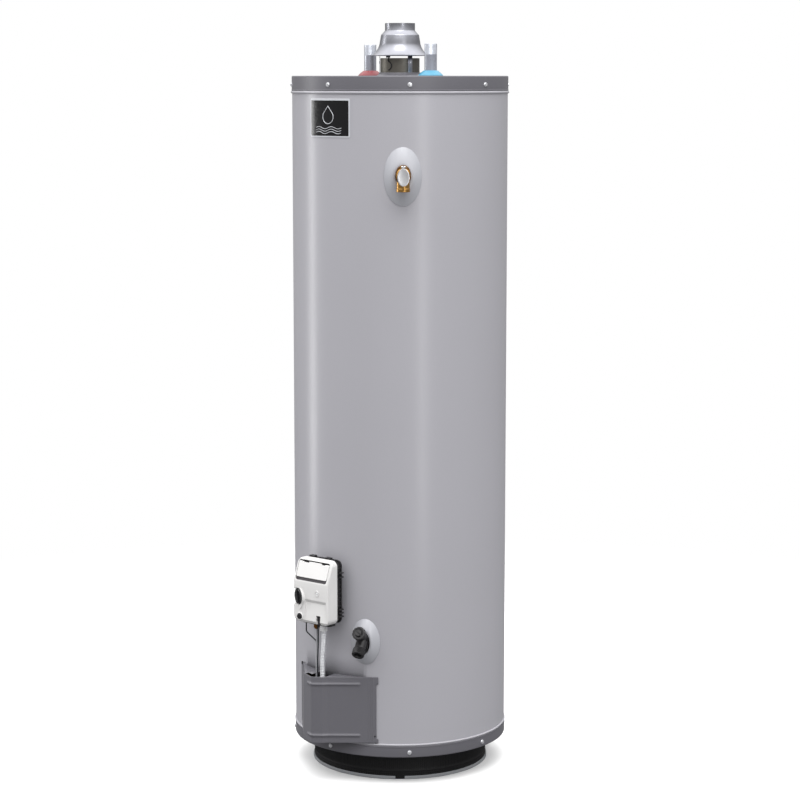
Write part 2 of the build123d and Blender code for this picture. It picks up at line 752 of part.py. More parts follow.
with BuildPart() as drain_stem:
    with BuildSketch(tilted(DRAIN_ANGLE, *STEM_ROOT, DRAIN_TILT).offset(4)):
        Circle(5)
    extrude(amount=12.5)
    with BuildSketch(tilted(DRAIN_ANGLE, *STEM_ROOT, DRAIN_TILT).offset(16)):
        Circle(14.5)
        with PolarLocations(15.5, 12):
            Circle(2.2, mode=Mode.SUBTRACT)
    extrude(amount=8)
    with BuildSketch(tilted(DRAIN_ANGLE, *STEM_ROOT, DRAIN_TILT).offset(24)):
        Circle(7)
    extrude(amount=2.5)
    with BuildSketch(tilted(DRAIN_ANGLE, *STEM_ROOT, DRAIN_TILT).offset(22)):
        Rectangle(16, 2.4, rotation=-35)
    extrude(amount=6, mode=Mode.SUBTRACT)
save(drain_stem, "drain_valve_stem")

# ---- gas control ----
MID_X = (CONTROL_LEFT + CONTROL_RIGHT) / 2
WIDTH = CONTROL_RIGHT - CONTROL_LEFT
COVER_MID_Z = (COVER_BOTTOM + COVER_TOP) / 2

BOSS_X, BOSS_WIDTH = -6.0, 76.0
GRIP_TURN = 35.0
TAB_HEIGHTS = (455.5, 446.5, 377.5, 369.5, 361.5)
facing = outward(KNOB_TURN)
knob_plane = Plane(origin=(KNOB_X, -KNOB_OUT, KNOB_Z), x_dir=facing.x_dir, z_dir=facing.z_dir)

with BuildPart() as valve_body:
    # threaded shank and its hex, back plate, casting inside the cover
    with BuildSketch(outward(0, 197, CONTROL_Z)):
        Circle(PIPE_R)
    extrude(amount=42)
    with BuildSketch(outward(0, 232, CONTROL_Z)):
        RegularPolygon(19, 6)
    extrude(amount=12)
    with BuildSketch(outward(0, CONTROL_BACK, COVER_MID_Z)):
        with Locations(((CONTROL_LEFT + PLATE_RIGHT) / 2, 0)):
            RectangleRounded(PLATE_RIGHT - CONTROL_LEFT - 0.8, COVER_TOP - COVER_BOTTOM - 1.0, 9)
    extrude(amount=COVER_BACK - CONTROL_BACK)
    with BuildSketch(outward(0, COVER_BACK, 392)):
        with Locations((-2, 0)):
            Rectangle(92, 66)
    extrude(amount=12)
    # snap tabs round the edge of the back plate
    with BuildSketch(outward(0, 247, 0)):
        with Locations(*[(PLATE_RIGHT, height) for height in TAB_HEIGHTS]):
            Rectangle(8.4, 2.6)
        with Locations((-30.7, COVER_TOP + 0.6), (12.7, COVER_TOP + 0.6)):
            Rectangle(14, 5)
    extrude(amount=9)
    # gas inlet boss on the left, tapped 1/2 in pipe
    inlet_plane = Plane(origin=(CONTROL_LEFT, -(CONTROL_BACK + 1), 420), x_dir=(0, 0, 1), z_dir=(-1, 0, 0))
    with BuildSketch(inlet_plane.offset(-12)):
        Circle(13)
    extrude(amount=18)
    with BuildSketch(inlet_plane.offset(-8)):
        Circle(9.3)
    extrude(amount=14, mode=Mode.SUBTRACT)
    # bores for the gas knob's stem and the igniter button's stem
    with BuildSketch(knob_plane.offset(-29)):
        Circle(4.05)
    extrude(amount=20, mode=Mode.SUBTRACT)
    with BuildSketch(outward(0, 256, BUTTON_Z)):
        with Locations((BUTTON_X, 0)):
            Circle(2.55)
    extrude(amount=20, mode=Mode.SUBTRACT)
    # boss underneath that takes the gas outlet, the pilot tube and the leads
    with BuildSketch(Plane.XY.offset(340)):
        with Locations((BOSS_X, -258)):
            RectangleRounded(BOSS_WIDTH, 21, 4)
    extrude(amount=12)
save(valve_body, "gas_valve_body")

COVER_SIDE = [
    (-COVER_BACK, COVER_BOTTOM),
    (-COVER_FRONT + 3, COVER_BOTTOM),
    (-COVER_FRONT, COVER_BOTTOM + 5),
    (-SLOPE_BOTTOM[0], SLOPE_BOTTOM[1]),
    (-SLOPE_TOP[0], SLOPE_TOP[1]),
    (-SLOPE_TOP[0] + 4, COVER_TOP),
    (-COVER_BACK, COVER_TOP),
]
COVER_SIDE_INNER = [
    (-COVER_BACK + 1, COVER_BOTTOM + COVER_WALL),
    (-COVER_FRONT + COVER_WALL + 1, COVER_BOTTOM + COVER_WALL),
    (-COVER_FRONT + COVER_WALL, COVER_BOTTOM + 6),
    (-SLOPE_BOTTOM[0] + COVER_WALL, SLOPE_BOTTOM[1] - 0.4),
    (-SLOPE_TOP[0] + COVER_WALL, SLOPE_TOP[1] - 0.7),
    (-SLOPE_TOP[0] + 4.6, COVER_TOP - COVER_WALL),
    (-COVER_BACK + 1, COVER_TOP - COVER_WALL),
]
slope_tilt = math.degrees(math.atan2(SLOPE_BOTTOM[0] - SLOPE_TOP[0], SLOPE_TOP[1] - SLOPE_BOTTOM[1]))
SLOPE_LENGTH = math.hypot(SLOPE_BOTTOM[0] - SLOPE_TOP[0], SLOPE_TOP[1] - SLOPE_BOTTOM[1])
slope = tilted(0, *SLOPE_BOTTOM, slope_tilt)      # y runs up the sloping face from its foot
LID_LEFT, LID_RIGHT = -46.0, 38.0
LID_MID = (LID_LEFT + LID_RIGHT) / 2
LID_LOW, LID_HIGH = 10.5, 43.5                     # along the slope
LID_THICK = 2.0
HINGE_UP = LID_HIGH - 2.0
HINGE_DEPTH = 3.5
hinge_origin = slope.origin + slope.y_dir * HINGE_UP - slope.z_dir * HINGE_DEPTH
hinge_plane = Plane(origin=hinge_origin, x_dir=(0, 0, 1), z_dir=(1, 0, 0))

with BuildPart() as cover:
    add(extrude(outline(COVER_SIDE, Plane.YZ.offset(CONTROL_LEFT)), amount=WIDTH, mode=Mode.PRIVATE))
    front_edges = cover.edges().filter_by(lambda e: e.center().Y < -COVER_BACK - 0.5)
    fillet(front_edges.filter_by(lambda e: abs(e.center().X - MID_X) > WIDTH / 2 - 1), radius=6)
    add(
        extrude(
            outline(COVER_SIDE_INNER, Plane.YZ.offset(CONTROL_LEFT + COVER_WALL)),
            amount=WIDTH - 2 * COVER_WALL,
            mode=Mode.PRIVATE,
        ),
        mode=Mode.SUBTRACT,
    )
    # raised rim round the gas knob
    with BuildSketch(knob_plane.offset(-9)):
        Circle(KNOB_WELL_R + 2.2)
    extrude(amount=8.4)
    with BuildSketch(knob_plane.offset(-24)):
        Circle(KNOB_WELL_R)
    extrude(amount=40, mode=Mode.SUBTRACT)
    with BuildSketch(outward(0, 270, BUTTON_Z)):
        with Locations((BUTTON_X, 0)):
            Circle(BUTTON_R + 0.4)
    extrude(amount=30, mode=Mode.SUBTRACT)
    with BuildSketch(outward(0, 270, LIGHT_Z)):
        with Locations((LIGHT_X, 0)):
            Circle(3.6)
    extrude(amount=30, mode=Mode.SUBTRACT)
    # sunk panel low on the right, and the notch at the bottom
    with BuildSketch(outward(0, COVER_FRONT - 1.2, 376)):
        with Locations((9, 0)):
            RectangleRounded(60, 40, 3)
    extrude(amount=5, mode=Mode.SUBTRACT)
    with BuildSketch(outward(0, 272, 355)):
        with Locations((16.5, 0)):
            Rectangle(12.4, 20)
    extrude(amount=30, mode=Mode.SUBTRACT)
    # way down for the gas outlet, the pilot tube and the leads
    with BuildSketch(Plane.XY.offset(COVER_BOTTOM - 2)):
        with Locations((BOSS_X, -258)):
            RectangleRounded(BOSS_WIDTH + 1, 22, 4)
    extrude(amount=8, mode=Mode.SUBTRACT)
    # lid opening, with ears for the hinge pin
    with BuildSketch(slope.offset(-COVER_WALL - 1.5)):
        with Locations((LID_MID, (3.5 + LID_HIGH + 2.4) / 2)):
            Rectangle(LID_RIGHT - LID_LEFT + 1.6, LID_HIGH + 2.4 - 3.5)
    extrude(amount=6, mode=Mode.SUBTRACT)
    for x in (LID_LEFT - 3.6, LID_RIGHT + 1.2):
        with BuildSketch(hinge_plane.offset(x - hinge_plane.origin.X)):
            Rectangle(6, 6)
        extrude(amount=2.4)
    with BuildSketch(hinge_plane):
        Circle(1.2)
    extrude(amount=70, both=True, mode=Mode.SUBTRACT)
save(cover, "control_cover")

with BuildPart() as lid:
    with BuildSketch(slope.offset(-LID_THICK)):
        with Locations((LID_MID, (LID_LOW + LID_HIGH) / 2)):
            RectangleRounded(LID_RIGHT - LID_LEFT, LID_HIGH - LID_LOW, 1.5)
    extrude(amount=LID_THICK)
    for x in (LID_LEFT + 2, LID_RIGHT - 12):
        with BuildSketch(hinge_plane.offset(x)):
            Circle(2.5)
        extrude(amount=10)
        with BuildSketch(hinge_plane.offset(x)):
            Circle(1.25)
        extrude(amount=10, mode=Mode.SUBTRACT)
save(lid, "control_lid")

with BuildPart() as lid_pin:
    with BuildSketch(hinge_plane.offset(LID_LEFT - 3.4)):
        Circle(1.2)
    extrude(amount=LID_RIGHT - LID_LEFT + 6.8)
save(lid_pin, "lid_hinge_pin")

with BuildPart() as knob_stem:
    with BuildSketch(knob_plane.offset(-23.5)):
        Circle(4)
    extrude(amount=23.5)
save(knob_stem, "gas_knob_stem")

with BuildPart() as knob:
    with BuildSketch(knob_plane.offset(-6.5)):
        Circle(KNOB_R)
    extrude(amount=6.5)
    with BuildSketch(knob_plane):
        with Locations(Rotation(0, 0, GRIP_TURN)):
            RectangleRounded(6, 25, 2.5)
    extrude(amount=4)
    with BuildSketch(knob_plane.offset(-6.5)):
        Circle(4.05)
    extrude(amount=6.6, mode=Mode.SUBTRACT)
save(knob, "gas_knob")

with BuildPart() as button:
    with BuildSketch(outward(0, 262, BUTTON_Z)):
        with Locations((BUTTON_X, 0)):
            Circle(2.5)
    extrude(amount=20)
    with BuildSketch(outward(0, 280, BUTTON_Z)):
        with Locations((BUTTON_X, 0)):
            Circle(BUTTON_R)
    extrude(amount=12)
save(button, "igniter_button")

with BuildPart() as light:
    with BuildSketch(outward(0, 270.8, LIGHT_Z)):
        with Locations((LIGHT_X, 0)):
            Circle(3.5)
    extrude(amount=18.6)
save(light, "status_light")

with BuildPart() as thermostat:
    with BuildSketch(outward(0, 75, CONTROL_Z)):
        Circle(5)
    extrude(amount=122)
save(thermostat, "thermostat_probe")

# ---- gas outlet, tubes and leads from the control to the burner ----
FITTING_X, FITTING_OUT = -9.5, 261.0
GAS_X, GAS_OUT = 7.5, 260.0
FEED_X, PILOT_X = 4.8, -12.0     # where the tubes run once clear of their fittings
with BuildPart() as fitting:
    with BuildSketch(Plane.XY.offset(331)):
        with Locations((FITTING_X, -FITTING_OUT)):
            RegularPolygon(7.4, 6)
    extrude(amount=9)
    with BuildSketch(Plane.XY.offset(326)):
        with Locations((FITTING_X, -FITTING_OUT)):
            Circle(4.2)
    extrude(amount=5)
    with BuildSketch(Plane.XY.offset(326)):
        with Locations((FITTING_X, -FITTING_OUT)):
            Circle(2.3)
    extrude(amount=10, mode=Mode.SUBTRACT)
save(fitting, "pilot_fitting")

with BuildPart() as gas_nut:
    with BuildSketch(Plane.XY.offset(327)):
        with Locations((GAS_X, -GAS_OUT)):
            RegularPolygon(8.6, 6)
            Circle(5.6, mode=Mode.SUBTRACT)
    extrude(amount=13)
save(gas_nut, "gas_tube_nut")


def bent_tube(start, points, bend, radius):
    """Round tube along straight runs joined by arcs, starting downwards at start."""
    with BuildPart() as tube:
        with BuildLine() as path:
            FilletPolyline(start, *points, radius=bend)
        with BuildSketch(Plane(origin=start, z_dir=(0, 0, -1))):
            Circle(radius)
        sweep(path=path.line)
    return tube


save(
    bent_tube(
        (GAS_X, -GAS_OUT, 340),
        [
            (GAS_X, -GAS_OUT, 306),
            (FEED_X, -GAS_OUT, 262),
            (FEED_X, -GAS_OUT, 150),
            (FEED_X, -INNER_DOOR_OUT, 150),
        ],
        TUBE_BEND,
        5.6,
    ),
    "gas_tube",
)
save(
    bent_tube(
        (FITTING_X, -FITTING_OUT, 336),
        [
            (FITTING_X, -FITTING_OUT, 300),
            (PILOT_X, -FITTING_OUT, 258),
            (PILOT_X, -FITTING_OUT, 176),
            (PILOT_X, -INNER_DOOR_OUT, 176),
        ],
        TUBE_BEND,
        2.3,
    ),
    "pilot_tube",
)
LEAD_X, LEAD_OUT = -2.6, 265.5
save(
    bent_tube(
        (LEAD_X, -LEAD_OUT, 340),
        [(LEAD_X, -LEAD_OUT, 187), (LEAD_X, -INNER_DOOR_OUT, 187)],
        TUBE_BEND,
        1.5,
    ),
    "thermopile_lead",
)
IGNITER_X = -38.0
save(
    bent_tube(
        (IGNITER_X, -262, 340),
        [
            (IGNITER_X, -262, 322),
            (-18.0, -262, 303),
            (-18.0, -262, 165),
            (-18.0, -INNER_DOOR_OUT, 165),
        ],
        8.0,
        1.4,
    ),
    "igniter_lead",
)

# ---- burner and its doors ----
with BuildPart() as gasket:
    with BuildSketch(Plane.XY.offset(96)):
        Circle(TANK_R + 1.2)
        Circle(TANK_R, mode=Mode.SUBTRACT)
    extrude(amount=114)
    with BuildSketch(outward(0, 150, 153)):
        RectangleRounded(160, 112, 8)
        RectangleRounded(140, 92, 6, mode=Mode.SUBTRACT)
        with Locations(*DOOR_BOLTS):
            Circle(2.1, mode=Mode.SUBTRACT)
    extrude(amount=80, mode=Mode.INTERSECT)
save(gasket, "inner_door_gasket")

with BuildPart() as inner_door:
    with BuildSketch(Plane.XY.offset(96)):
        Circle(INNER_DOOR_OUT)
        Circle(TANK_R + 1.2, mode=Mode.SUBTRACT)
    extrude(amount=114)
    with BuildSketch(outward(0, 150, 153)):
        RectangleRounded(160, 112, 8)
        with Locations((45, 28)):
            Circle(14, mode=Mode.SUBTRACT)
        with Locations(*DOOR_BOLTS):
            Circle(2.2, mode=Mode.SUBTRACT)
    extrude(amount=80, mode=Mode.INTERSECT)
save(inner_door, "inner_burner_door")

with BuildPart() as glass:
    with BuildSketch(outward(0, 196, 153)):
        with Locations((45, 28)):
            Circle(13.8)
    extrude(amount=9)
save(glass, "sight_glass")

with BuildPart() as door_screws:
    with BuildSketch(outward(0, 186, 153)):
        with Locations(*DOOR_BOLTS):
            Circle(2.0)
    extrude(amount=9)
    with BuildSketch(outward(0, 195, 153)):
        with Locations(*DOOR_BOLTS):
            Circle(4.4)
    extrude(amount=3)
save(door_screws, "inner_door_screws")

with BuildPart() as feed_tube:
    with BuildSketch(outward(0, 0, 150)):
        with Locations((FEED_X, 0)):
            Circle(7)
    extrude(amount=TANK_R - 3)
save(feed_tube, "burner_feed_tube")

with BuildPart() as burner:
    with BuildSketch(Plane.XY.offset(140)):
        Circle(16)
    extrude(amount=20)
    with BuildSketch(Plane.XY.offset(160)):
        Circle(70)
    extrude(amount=12)
    with BuildSketch(outward(0, 0, 150)):
        with Locations((FEED_X, 0)):
            Circle(7)
    extrude(amount=TANK_R, both=True, mode=Mode.SUBTRACT)
    fillet(burner.edges().group_by(Axis.Z)[-1], radius=4)
save(burner, "burner_head")

with BuildPart() as pilot:
    with BuildSketch(Plane.XY.offset(176)):
        with Locations((-30, -88)):
            RectangleRounded(34, 16, 3)
    extrude(amount=2)
    with BuildSketch(Plane.XY.offset(165)):
        with Locations((-42, -88), (-30, -88), (-18, -88)):
            Circle(3)
    extrude(amount=30)
save(pilot, "pilot_assembly")

with BuildPart() as outer_door:
    with BuildSketch(Plane.XY.offset(DOOR_BOTTOM)):
        with BuildLine(mode=Mode.PRIVATE) as door_line:
            FilletPolyline(*DOOR_PLAN, radius=9)
        with BuildLine():
            offset(door_line.line, amount=DOOR_SHEET / 2, side=Side.BOTH)
        make_face()
    extrude(amount=DOOR_TOP - DOOR_BOTTOM)
save(outer_door, "outer_burner_door")
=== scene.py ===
import math

import bmesh
import bpy
from mathutils import Matrix, Vector


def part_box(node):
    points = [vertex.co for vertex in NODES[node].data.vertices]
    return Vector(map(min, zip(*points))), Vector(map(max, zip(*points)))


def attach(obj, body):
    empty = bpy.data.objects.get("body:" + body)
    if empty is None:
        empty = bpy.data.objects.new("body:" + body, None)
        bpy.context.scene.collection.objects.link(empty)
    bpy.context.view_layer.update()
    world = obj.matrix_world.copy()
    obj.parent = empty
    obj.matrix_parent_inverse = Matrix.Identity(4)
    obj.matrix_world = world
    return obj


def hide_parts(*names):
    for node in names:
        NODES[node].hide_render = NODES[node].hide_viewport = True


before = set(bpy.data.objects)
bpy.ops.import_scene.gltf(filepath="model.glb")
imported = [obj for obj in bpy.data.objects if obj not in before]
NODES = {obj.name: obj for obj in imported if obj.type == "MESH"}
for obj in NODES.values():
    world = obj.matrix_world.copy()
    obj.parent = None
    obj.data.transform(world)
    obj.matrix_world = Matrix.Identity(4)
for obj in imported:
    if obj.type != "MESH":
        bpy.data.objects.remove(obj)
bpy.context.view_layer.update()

# Shapes are written in millimetres and scaled once, when their mesh is made. An angle is measured
# round the tank axis from the front (-Y), positive towards +X; "out" is the distance from the axis.
MM = 0.001

# ---------------------------------------------------------------- sizes shared with the CAD frame
JACKET_R = 228.6
COVER_R = 229.5
JACKET_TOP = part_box("top_cover")[1].z / MM
FLANGE_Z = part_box("top_cover")[0].z / MM
BOTTOM_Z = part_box("bottom_cover")[0].z / MM
BOTTOM_SKIRT_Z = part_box("bottom_cover")[1].z / MM
UPPER_BEAD_Z, LOWER_BEAD_Z = 1448.0, 86.4
UPPER_BEAD_R, LOWER_BEAD_R = 2.9, 2.2
SCREW_Z = (1464.0, 70.0)
BASE_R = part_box("air_intake_ring")[1].x / MM
TRIM_GAP_ANGLE = 40.0
COLD_ANGLE, NIPPLE_OUT = 79.0, 101.6
NIPPLE_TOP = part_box("cold_nipple")[1].z / MM
HOOD_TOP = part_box("draft_hood")[1].z / MM
LEG_ANGLES = (70.0, 190.0, 310.0)
FLUE_R = 41.5
FLUE_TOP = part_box("flue_tube")[1].z / MM
RELIEF_ANGLE, RELIEF_Z, BONNET_Z = 41.4, 1278.6, 1283.0
PIVOT_OUT, PIVOT_Z = 278.0, 1300.0
DRAIN_ANGLE, DRAIN_Z, DRAIN_TILT, OUTLET_TILT = 21.4, 307.0, 30.0, 42.0
STEM_ROOT, OUTLET_ROOT = (250.0, 323.0), (252.0, 309.5)
DOOR_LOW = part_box("outer_burner_door")[0].z / MM
DOOR_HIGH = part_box("outer_burner_door")[1].z / MM


# ---------------------------------------------------------------- frames and outlines
def outward(angle, out=0.0, height=0.0, tilt=0.0, across=0.0):
    """Frame that faces out from the axis: x to the right as seen from outside, y up, z outwards."""
    facing = Matrix(((1, 0, 0, 0), (0, 0, -1, 0), (0, 1, 0, 0), (0, 0, 0, 1)))
    turned = Matrix.Rotation(math.radians(angle), 4, "Z") @ facing
    place = turned @ Vector((across, height, out))
    return Matrix.Translation(place) @ turned @ Matrix.Rotation(math.radians(-tilt), 4, "X")


def sideways(place):
    """The same frame with its z axis turned across, to the right."""
    return place @ Matrix.Rotation(math.radians(90), 4, "Y")


def upright(x=0.0, y=0.0, z=0.0):
    """Frame standing at a point, z up."""
    return Matrix.Translation((x, y, z))


def spot(angle, out, height):
    """A point at an angle, a distance from the axis and a height."""
    return outward(angle, out, height).translation


def arc(centre, radius, start, end, steps):
    """Points on an arc, in degrees."""
    turns = [math.radians(start + (end - start) * i / steps) for i in range(steps + 1)]
    return [(centre[0] + radius * math.cos(t), centre[1] + radius * math.sin(t)) for t in turns]


def ellipse(half_width, half_height, steps=64, centre=(0.0, 0.0)):
    """Closed ellipse."""
    x, y = centre
    turns = [2 * math.pi * i / steps for i in range(steps)]
    return [(x + half_width * math.cos(t), y + half_height * math.sin(t)) for t in turns]


def rectangle(width, height, radius=0.0, centre=(0.0, 0.0), steps=6):
    """Closed rectangle with rounded corners, counter-clockwise."""
    x, y = centre
    right, top = width / 2 - radius, height / 2 - radius
    if radius == 0:
        return [(x + a, y + b) for a, b in ((right, -top), (right, top), (-right, top), (-right, -top))]
    corners = ((right, top, 0), (-right, top, 90), (-right, -top, 180), (right, -top, 270))
    points = []
    for a, b, start in corners:
        points += arc((x + a, y + b), radius, start, start + 90, steps)
    return points


def polygon(radius, sides, turn=0.0, centre=(0.0, 0.0)):
    """Regular polygon of that corner radius."""
    return arc(centre, radius, turn, turn + 360, sides)[:-1]


def filleted(points, radius, steps=8):
    """Open path through points with each inner corner rounded; works in two or three dimensions."""
    points = [Vector(p) for p in points]
    path = [points[0]]
    for before, corner, after in zip(points, points[1:], points[2:]):
        one, two = (before - corner).normalized(), (after - corner).normalized()
        half = one.angle(two) / 2
        reach = min(radius / math.tan(half), 0.49 * (before - corner).length, 0.49 * (after - corner).length)
        size = reach * math.tan(half)
        centre = corner + (one + two).normalized() * (size / math.sin(half))
        start, end = corner + one * reach - centre, corner + two * reach - centre
        path += [centre + start.slerp(end, i / steps).normalized() * size for i in range(steps + 1)]
    path.append(points[-1])
    return path


def resampled(path, step):
    """The same path with points an even step apart."""
    path = [Vector(p) for p in path]
    lengths = [0.0]
    for a, b in zip(path, path[1:]):
        lengths.append(lengths[-1] + (b - a).length)
    count = max(2, round(lengths[-1] / step))
    points, k = [], 0
    for i in range(count + 1):
        want = lengths[-1] * i / count
        while k < len(path) - 2 and lengths[k + 1] < want:
            k += 1
        span = lengths[k + 1] - lengths[k] or 1.0
        points.append(path[k].lerp(path[k + 1], (want - lengths[k]) / span))
    return points


def smooth(low, high, value):
    """0 below low, 1 above high, smooth between."""
    t = max(0.0, min(1.0, (value - low) / (high - low)))
    return t * t * (3 - 2 * t)


# ---------------------------------------------------------------- mesh shapes: (vertices, faces)
def lathe(profile, place, segments=64, closed=False, start=0.0, span=360.0, shape=None):
    """A (radius, height) profile turned about the frame's z axis.

    shape(radius, height, turn) gives a new radius.
    """
    whole = span >= 360
    steps = segments if whole else segments + 1
    verts = []
    for i in range(steps):
        turn = math.radians(start + span * i / segments)
        for r, h in profile:
            size = shape(r, h, turn) if shape else r
            verts.append(place @ Vector((size * math.cos(turn), size * math.sin(turn), h)))
    n = len(profile)
    faces = []
    for i in range(segments):
        j = (i + 1) % steps
        for k in range(n if closed else n - 1):
            m = (k + 1) % n
            faces.append((i * n + k, j * n + k, j * n + m, i * n + m))
    if closed and not whole:
        faces += [tuple(range(n)), tuple(range((steps - 1) * n, steps * n))]
    return verts, faces


def stack(rings):
    """Rings of as many points each, joined one to the next, with a face over each end."""
    n = len(rings[0])
    verts = [point for ring in rings for point in ring]
    last = len(verts) - n
    faces = [tuple(range(n)), tuple(range(last, last + n))]
    for base in range(0, last, n):
        faces += [(base + k, base + (k + 1) % n, base + n + (k + 1) % n, base + n + k) for k in range(n)]
    return verts, faces


def prism(outline, low, high, place):
    """An outline in the frame's xy plane, raised from low to high along z."""
    return stack([[place @ Vector((x, y, z)) for x, y in outline] for z in (low, high)])


def grid(columns, rows, point, keep=None, wrap=False):
    """Sheet of quads. point(i, j) places a vertex, and keep(i, j) says whether a quad is there."""
    across = columns if wrap else columns - 1
    verts = [point(i, j) for i in range(columns) for j in range(rows)]
    faces = []
    for i in range(across):
        for j in range(rows - 1):
            if keep is None or keep(i, j):
                k = (i + 1) % columns
                faces.append((i * rows + j, k * rows + j, k * rows + j + 1, i * rows + j + 1))
    return verts, faces


def sweep(path, radius, sides=16):
    """Round tube along a path; radius is a number or a function of the distance along it."""
    path = [Vector(p) for p in path]
    ahead = (path[1] - path[0]).normalized()
    side = ahead.orthogonal().normalized()
    rings, walked = [], 0.0
    turns = [2 * math.pi * k / sides for k in range(sides)]
    for i, here in enumerate(path):
        nxt, before = path[min(i + 1, len(path) - 1)], path[max(i - 1, 0)]
        walked += (here - before).length
        turned = (nxt - before).normalized()
        side = ahead.rotation_difference(turned) @ side
        ahead = turned
        third = ahead.cross(side)
        size = radius(walked) if callable(radius) else radius
        rings.append([here + side * (size * math.cos(t)) + third * (size * math.sin(t)) for t in turns])
    return stack(rings)


def joined(shapes):
    """Several shapes as one."""
    verts, faces = [], []
    for v, f in shapes:
        base = len(verts)
        verts += v
        faces += [tuple(base + i for i in face) for face in f]
    return verts, faces


# ---------------------------------------------------------------- making pieces
def mesh_object(name, shape, sheet=False):
    """Object from a shape in millimetres. A closed shape's faces are turned out, a sheet's aren't."""
    verts, faces = shape
    data = bpy.data.meshes.new(name)
    data.from_pydata([Vector(v) * MM for v in verts], [], faces)
    work = bmesh.new()
    work.from_mesh(data)
    bmesh.ops.remove_doubles(work, verts=work.verts, dist=1e-7)
    bmesh.ops.dissolve_degenerate(work, edges=work.edges, dist=1e-8)
    loose = [v for v in work.verts if not v.link_faces]
    bmesh.ops.delete(work, geom=loose, context="VERTS")
    if not sheet:
        bmesh.ops.recalc_face_normals(work, faces=work.faces)
    work.to_mesh(data)
    work.free()
    obj = bpy.data.objects.new(name, data)
    bpy.context.scene.collection.objects.link(obj)
    return obj


def apply_modifiers(obj):
    """Bakes an object's modifiers into its mesh."""
    evaluated = obj.evaluated_get(bpy.context.evaluated_depsgraph_get())
    data = bpy.data.meshes.new_from_object(evaluated)
    obj.modifiers.clear()
    obj.data = data


def carve(obj, shapes, operation="DIFFERENCE"):
    """Cuts shapes from an object, or keeps what is common to both."""
    for number, shape in enumerate(shapes):
        tool = mesh_object(f"{obj.name}_tool_{number}", shape)
        cut = obj.modifiers.new("cut", "BOOLEAN")
        cut.operation, cut.solver, cut.object = operation, "EXACT", tool
        apply_modifiers(obj)
        bpy.data.objects.remove(tool)


def rounded_edges(obj, width, segments=3, limit=30.0):
    """Bevel on every edge sharper than the limit."""
    bevel = obj.modifiers.new("rounded edges", "BEVEL")
    bevel.width, bevel.segments = width * MM, segments
    bevel.limit_method, bevel.angle_limit = "ANGLE", math.radians(limit)
    bevel.harden_normals = False


def shade(obj, sharp=32.0):
    """Smooth shading that breaks at sharp edges."""
    obj.data.shade_smooth()
    obj.data.set_sharp_from_angle(angle=math.radians(sharp))


def apply_finish(obj, finish):
    """Gives an object one material."""
    obj.data.materials.clear()
    obj.data.materials.append(finish.material)


def finish_piece(obj, finish, body="heater", slot=None, replaces=(), bevel=0.0, sharp=32.0, thick=0.0):
    """Material, shading, thickness and rounded edges, and what the piece rides on and stands for."""
    apply_finish(obj, finish)
    shade(obj, sharp)
    if thick:
        solid = obj.modifiers.new("sheet thickness", "SOLIDIFY")
        solid.thickness, solid.offset = thick * MM, -1.0
    if bevel:
        rounded_edges(obj, bevel)
        obj.modifiers.new("weighted normals", "WEIGHTED_NORMAL").keep_sharp = True
    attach(obj, body)
    slot or finish.slot
    if replaces:
        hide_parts(*replaces)
    for node in replaces:
        apply_finish(NODES[node], finish)
    return obj


def piece(name, shapes, finish, **facts):
    """One finished piece from one shape or several."""
    shape = shapes if isinstance(shapes, tuple) else joined(shapes)
    return finish_piece(mesh_object(name, shape, sheet=bool(facts.get("thick"))), finish, **facts)


# ---------------------------------------------------------------- materials
def srgb(red, green, blue):
    """Display colour, 0 to 255, as a linear colour."""
    return tuple((c / 255 / 12.92) if c <= 10 else ((c / 255 + 0.055) / 1.055) ** 2.4
                 for c in (red, green, blue))


# finishes whose slot has another name than their own
SLOTS = {
    "pipe_zinc": "galvanised", "dull_brass": "brass", "gloss_black_plastic": "black_plastic",
    "painted_shade_grey": "black_plastic", "badge_silver": "badge_black", "dull_tube": "tube_aluminium",
    "nut_plating_painted_highlight": "zinc_screw",
}


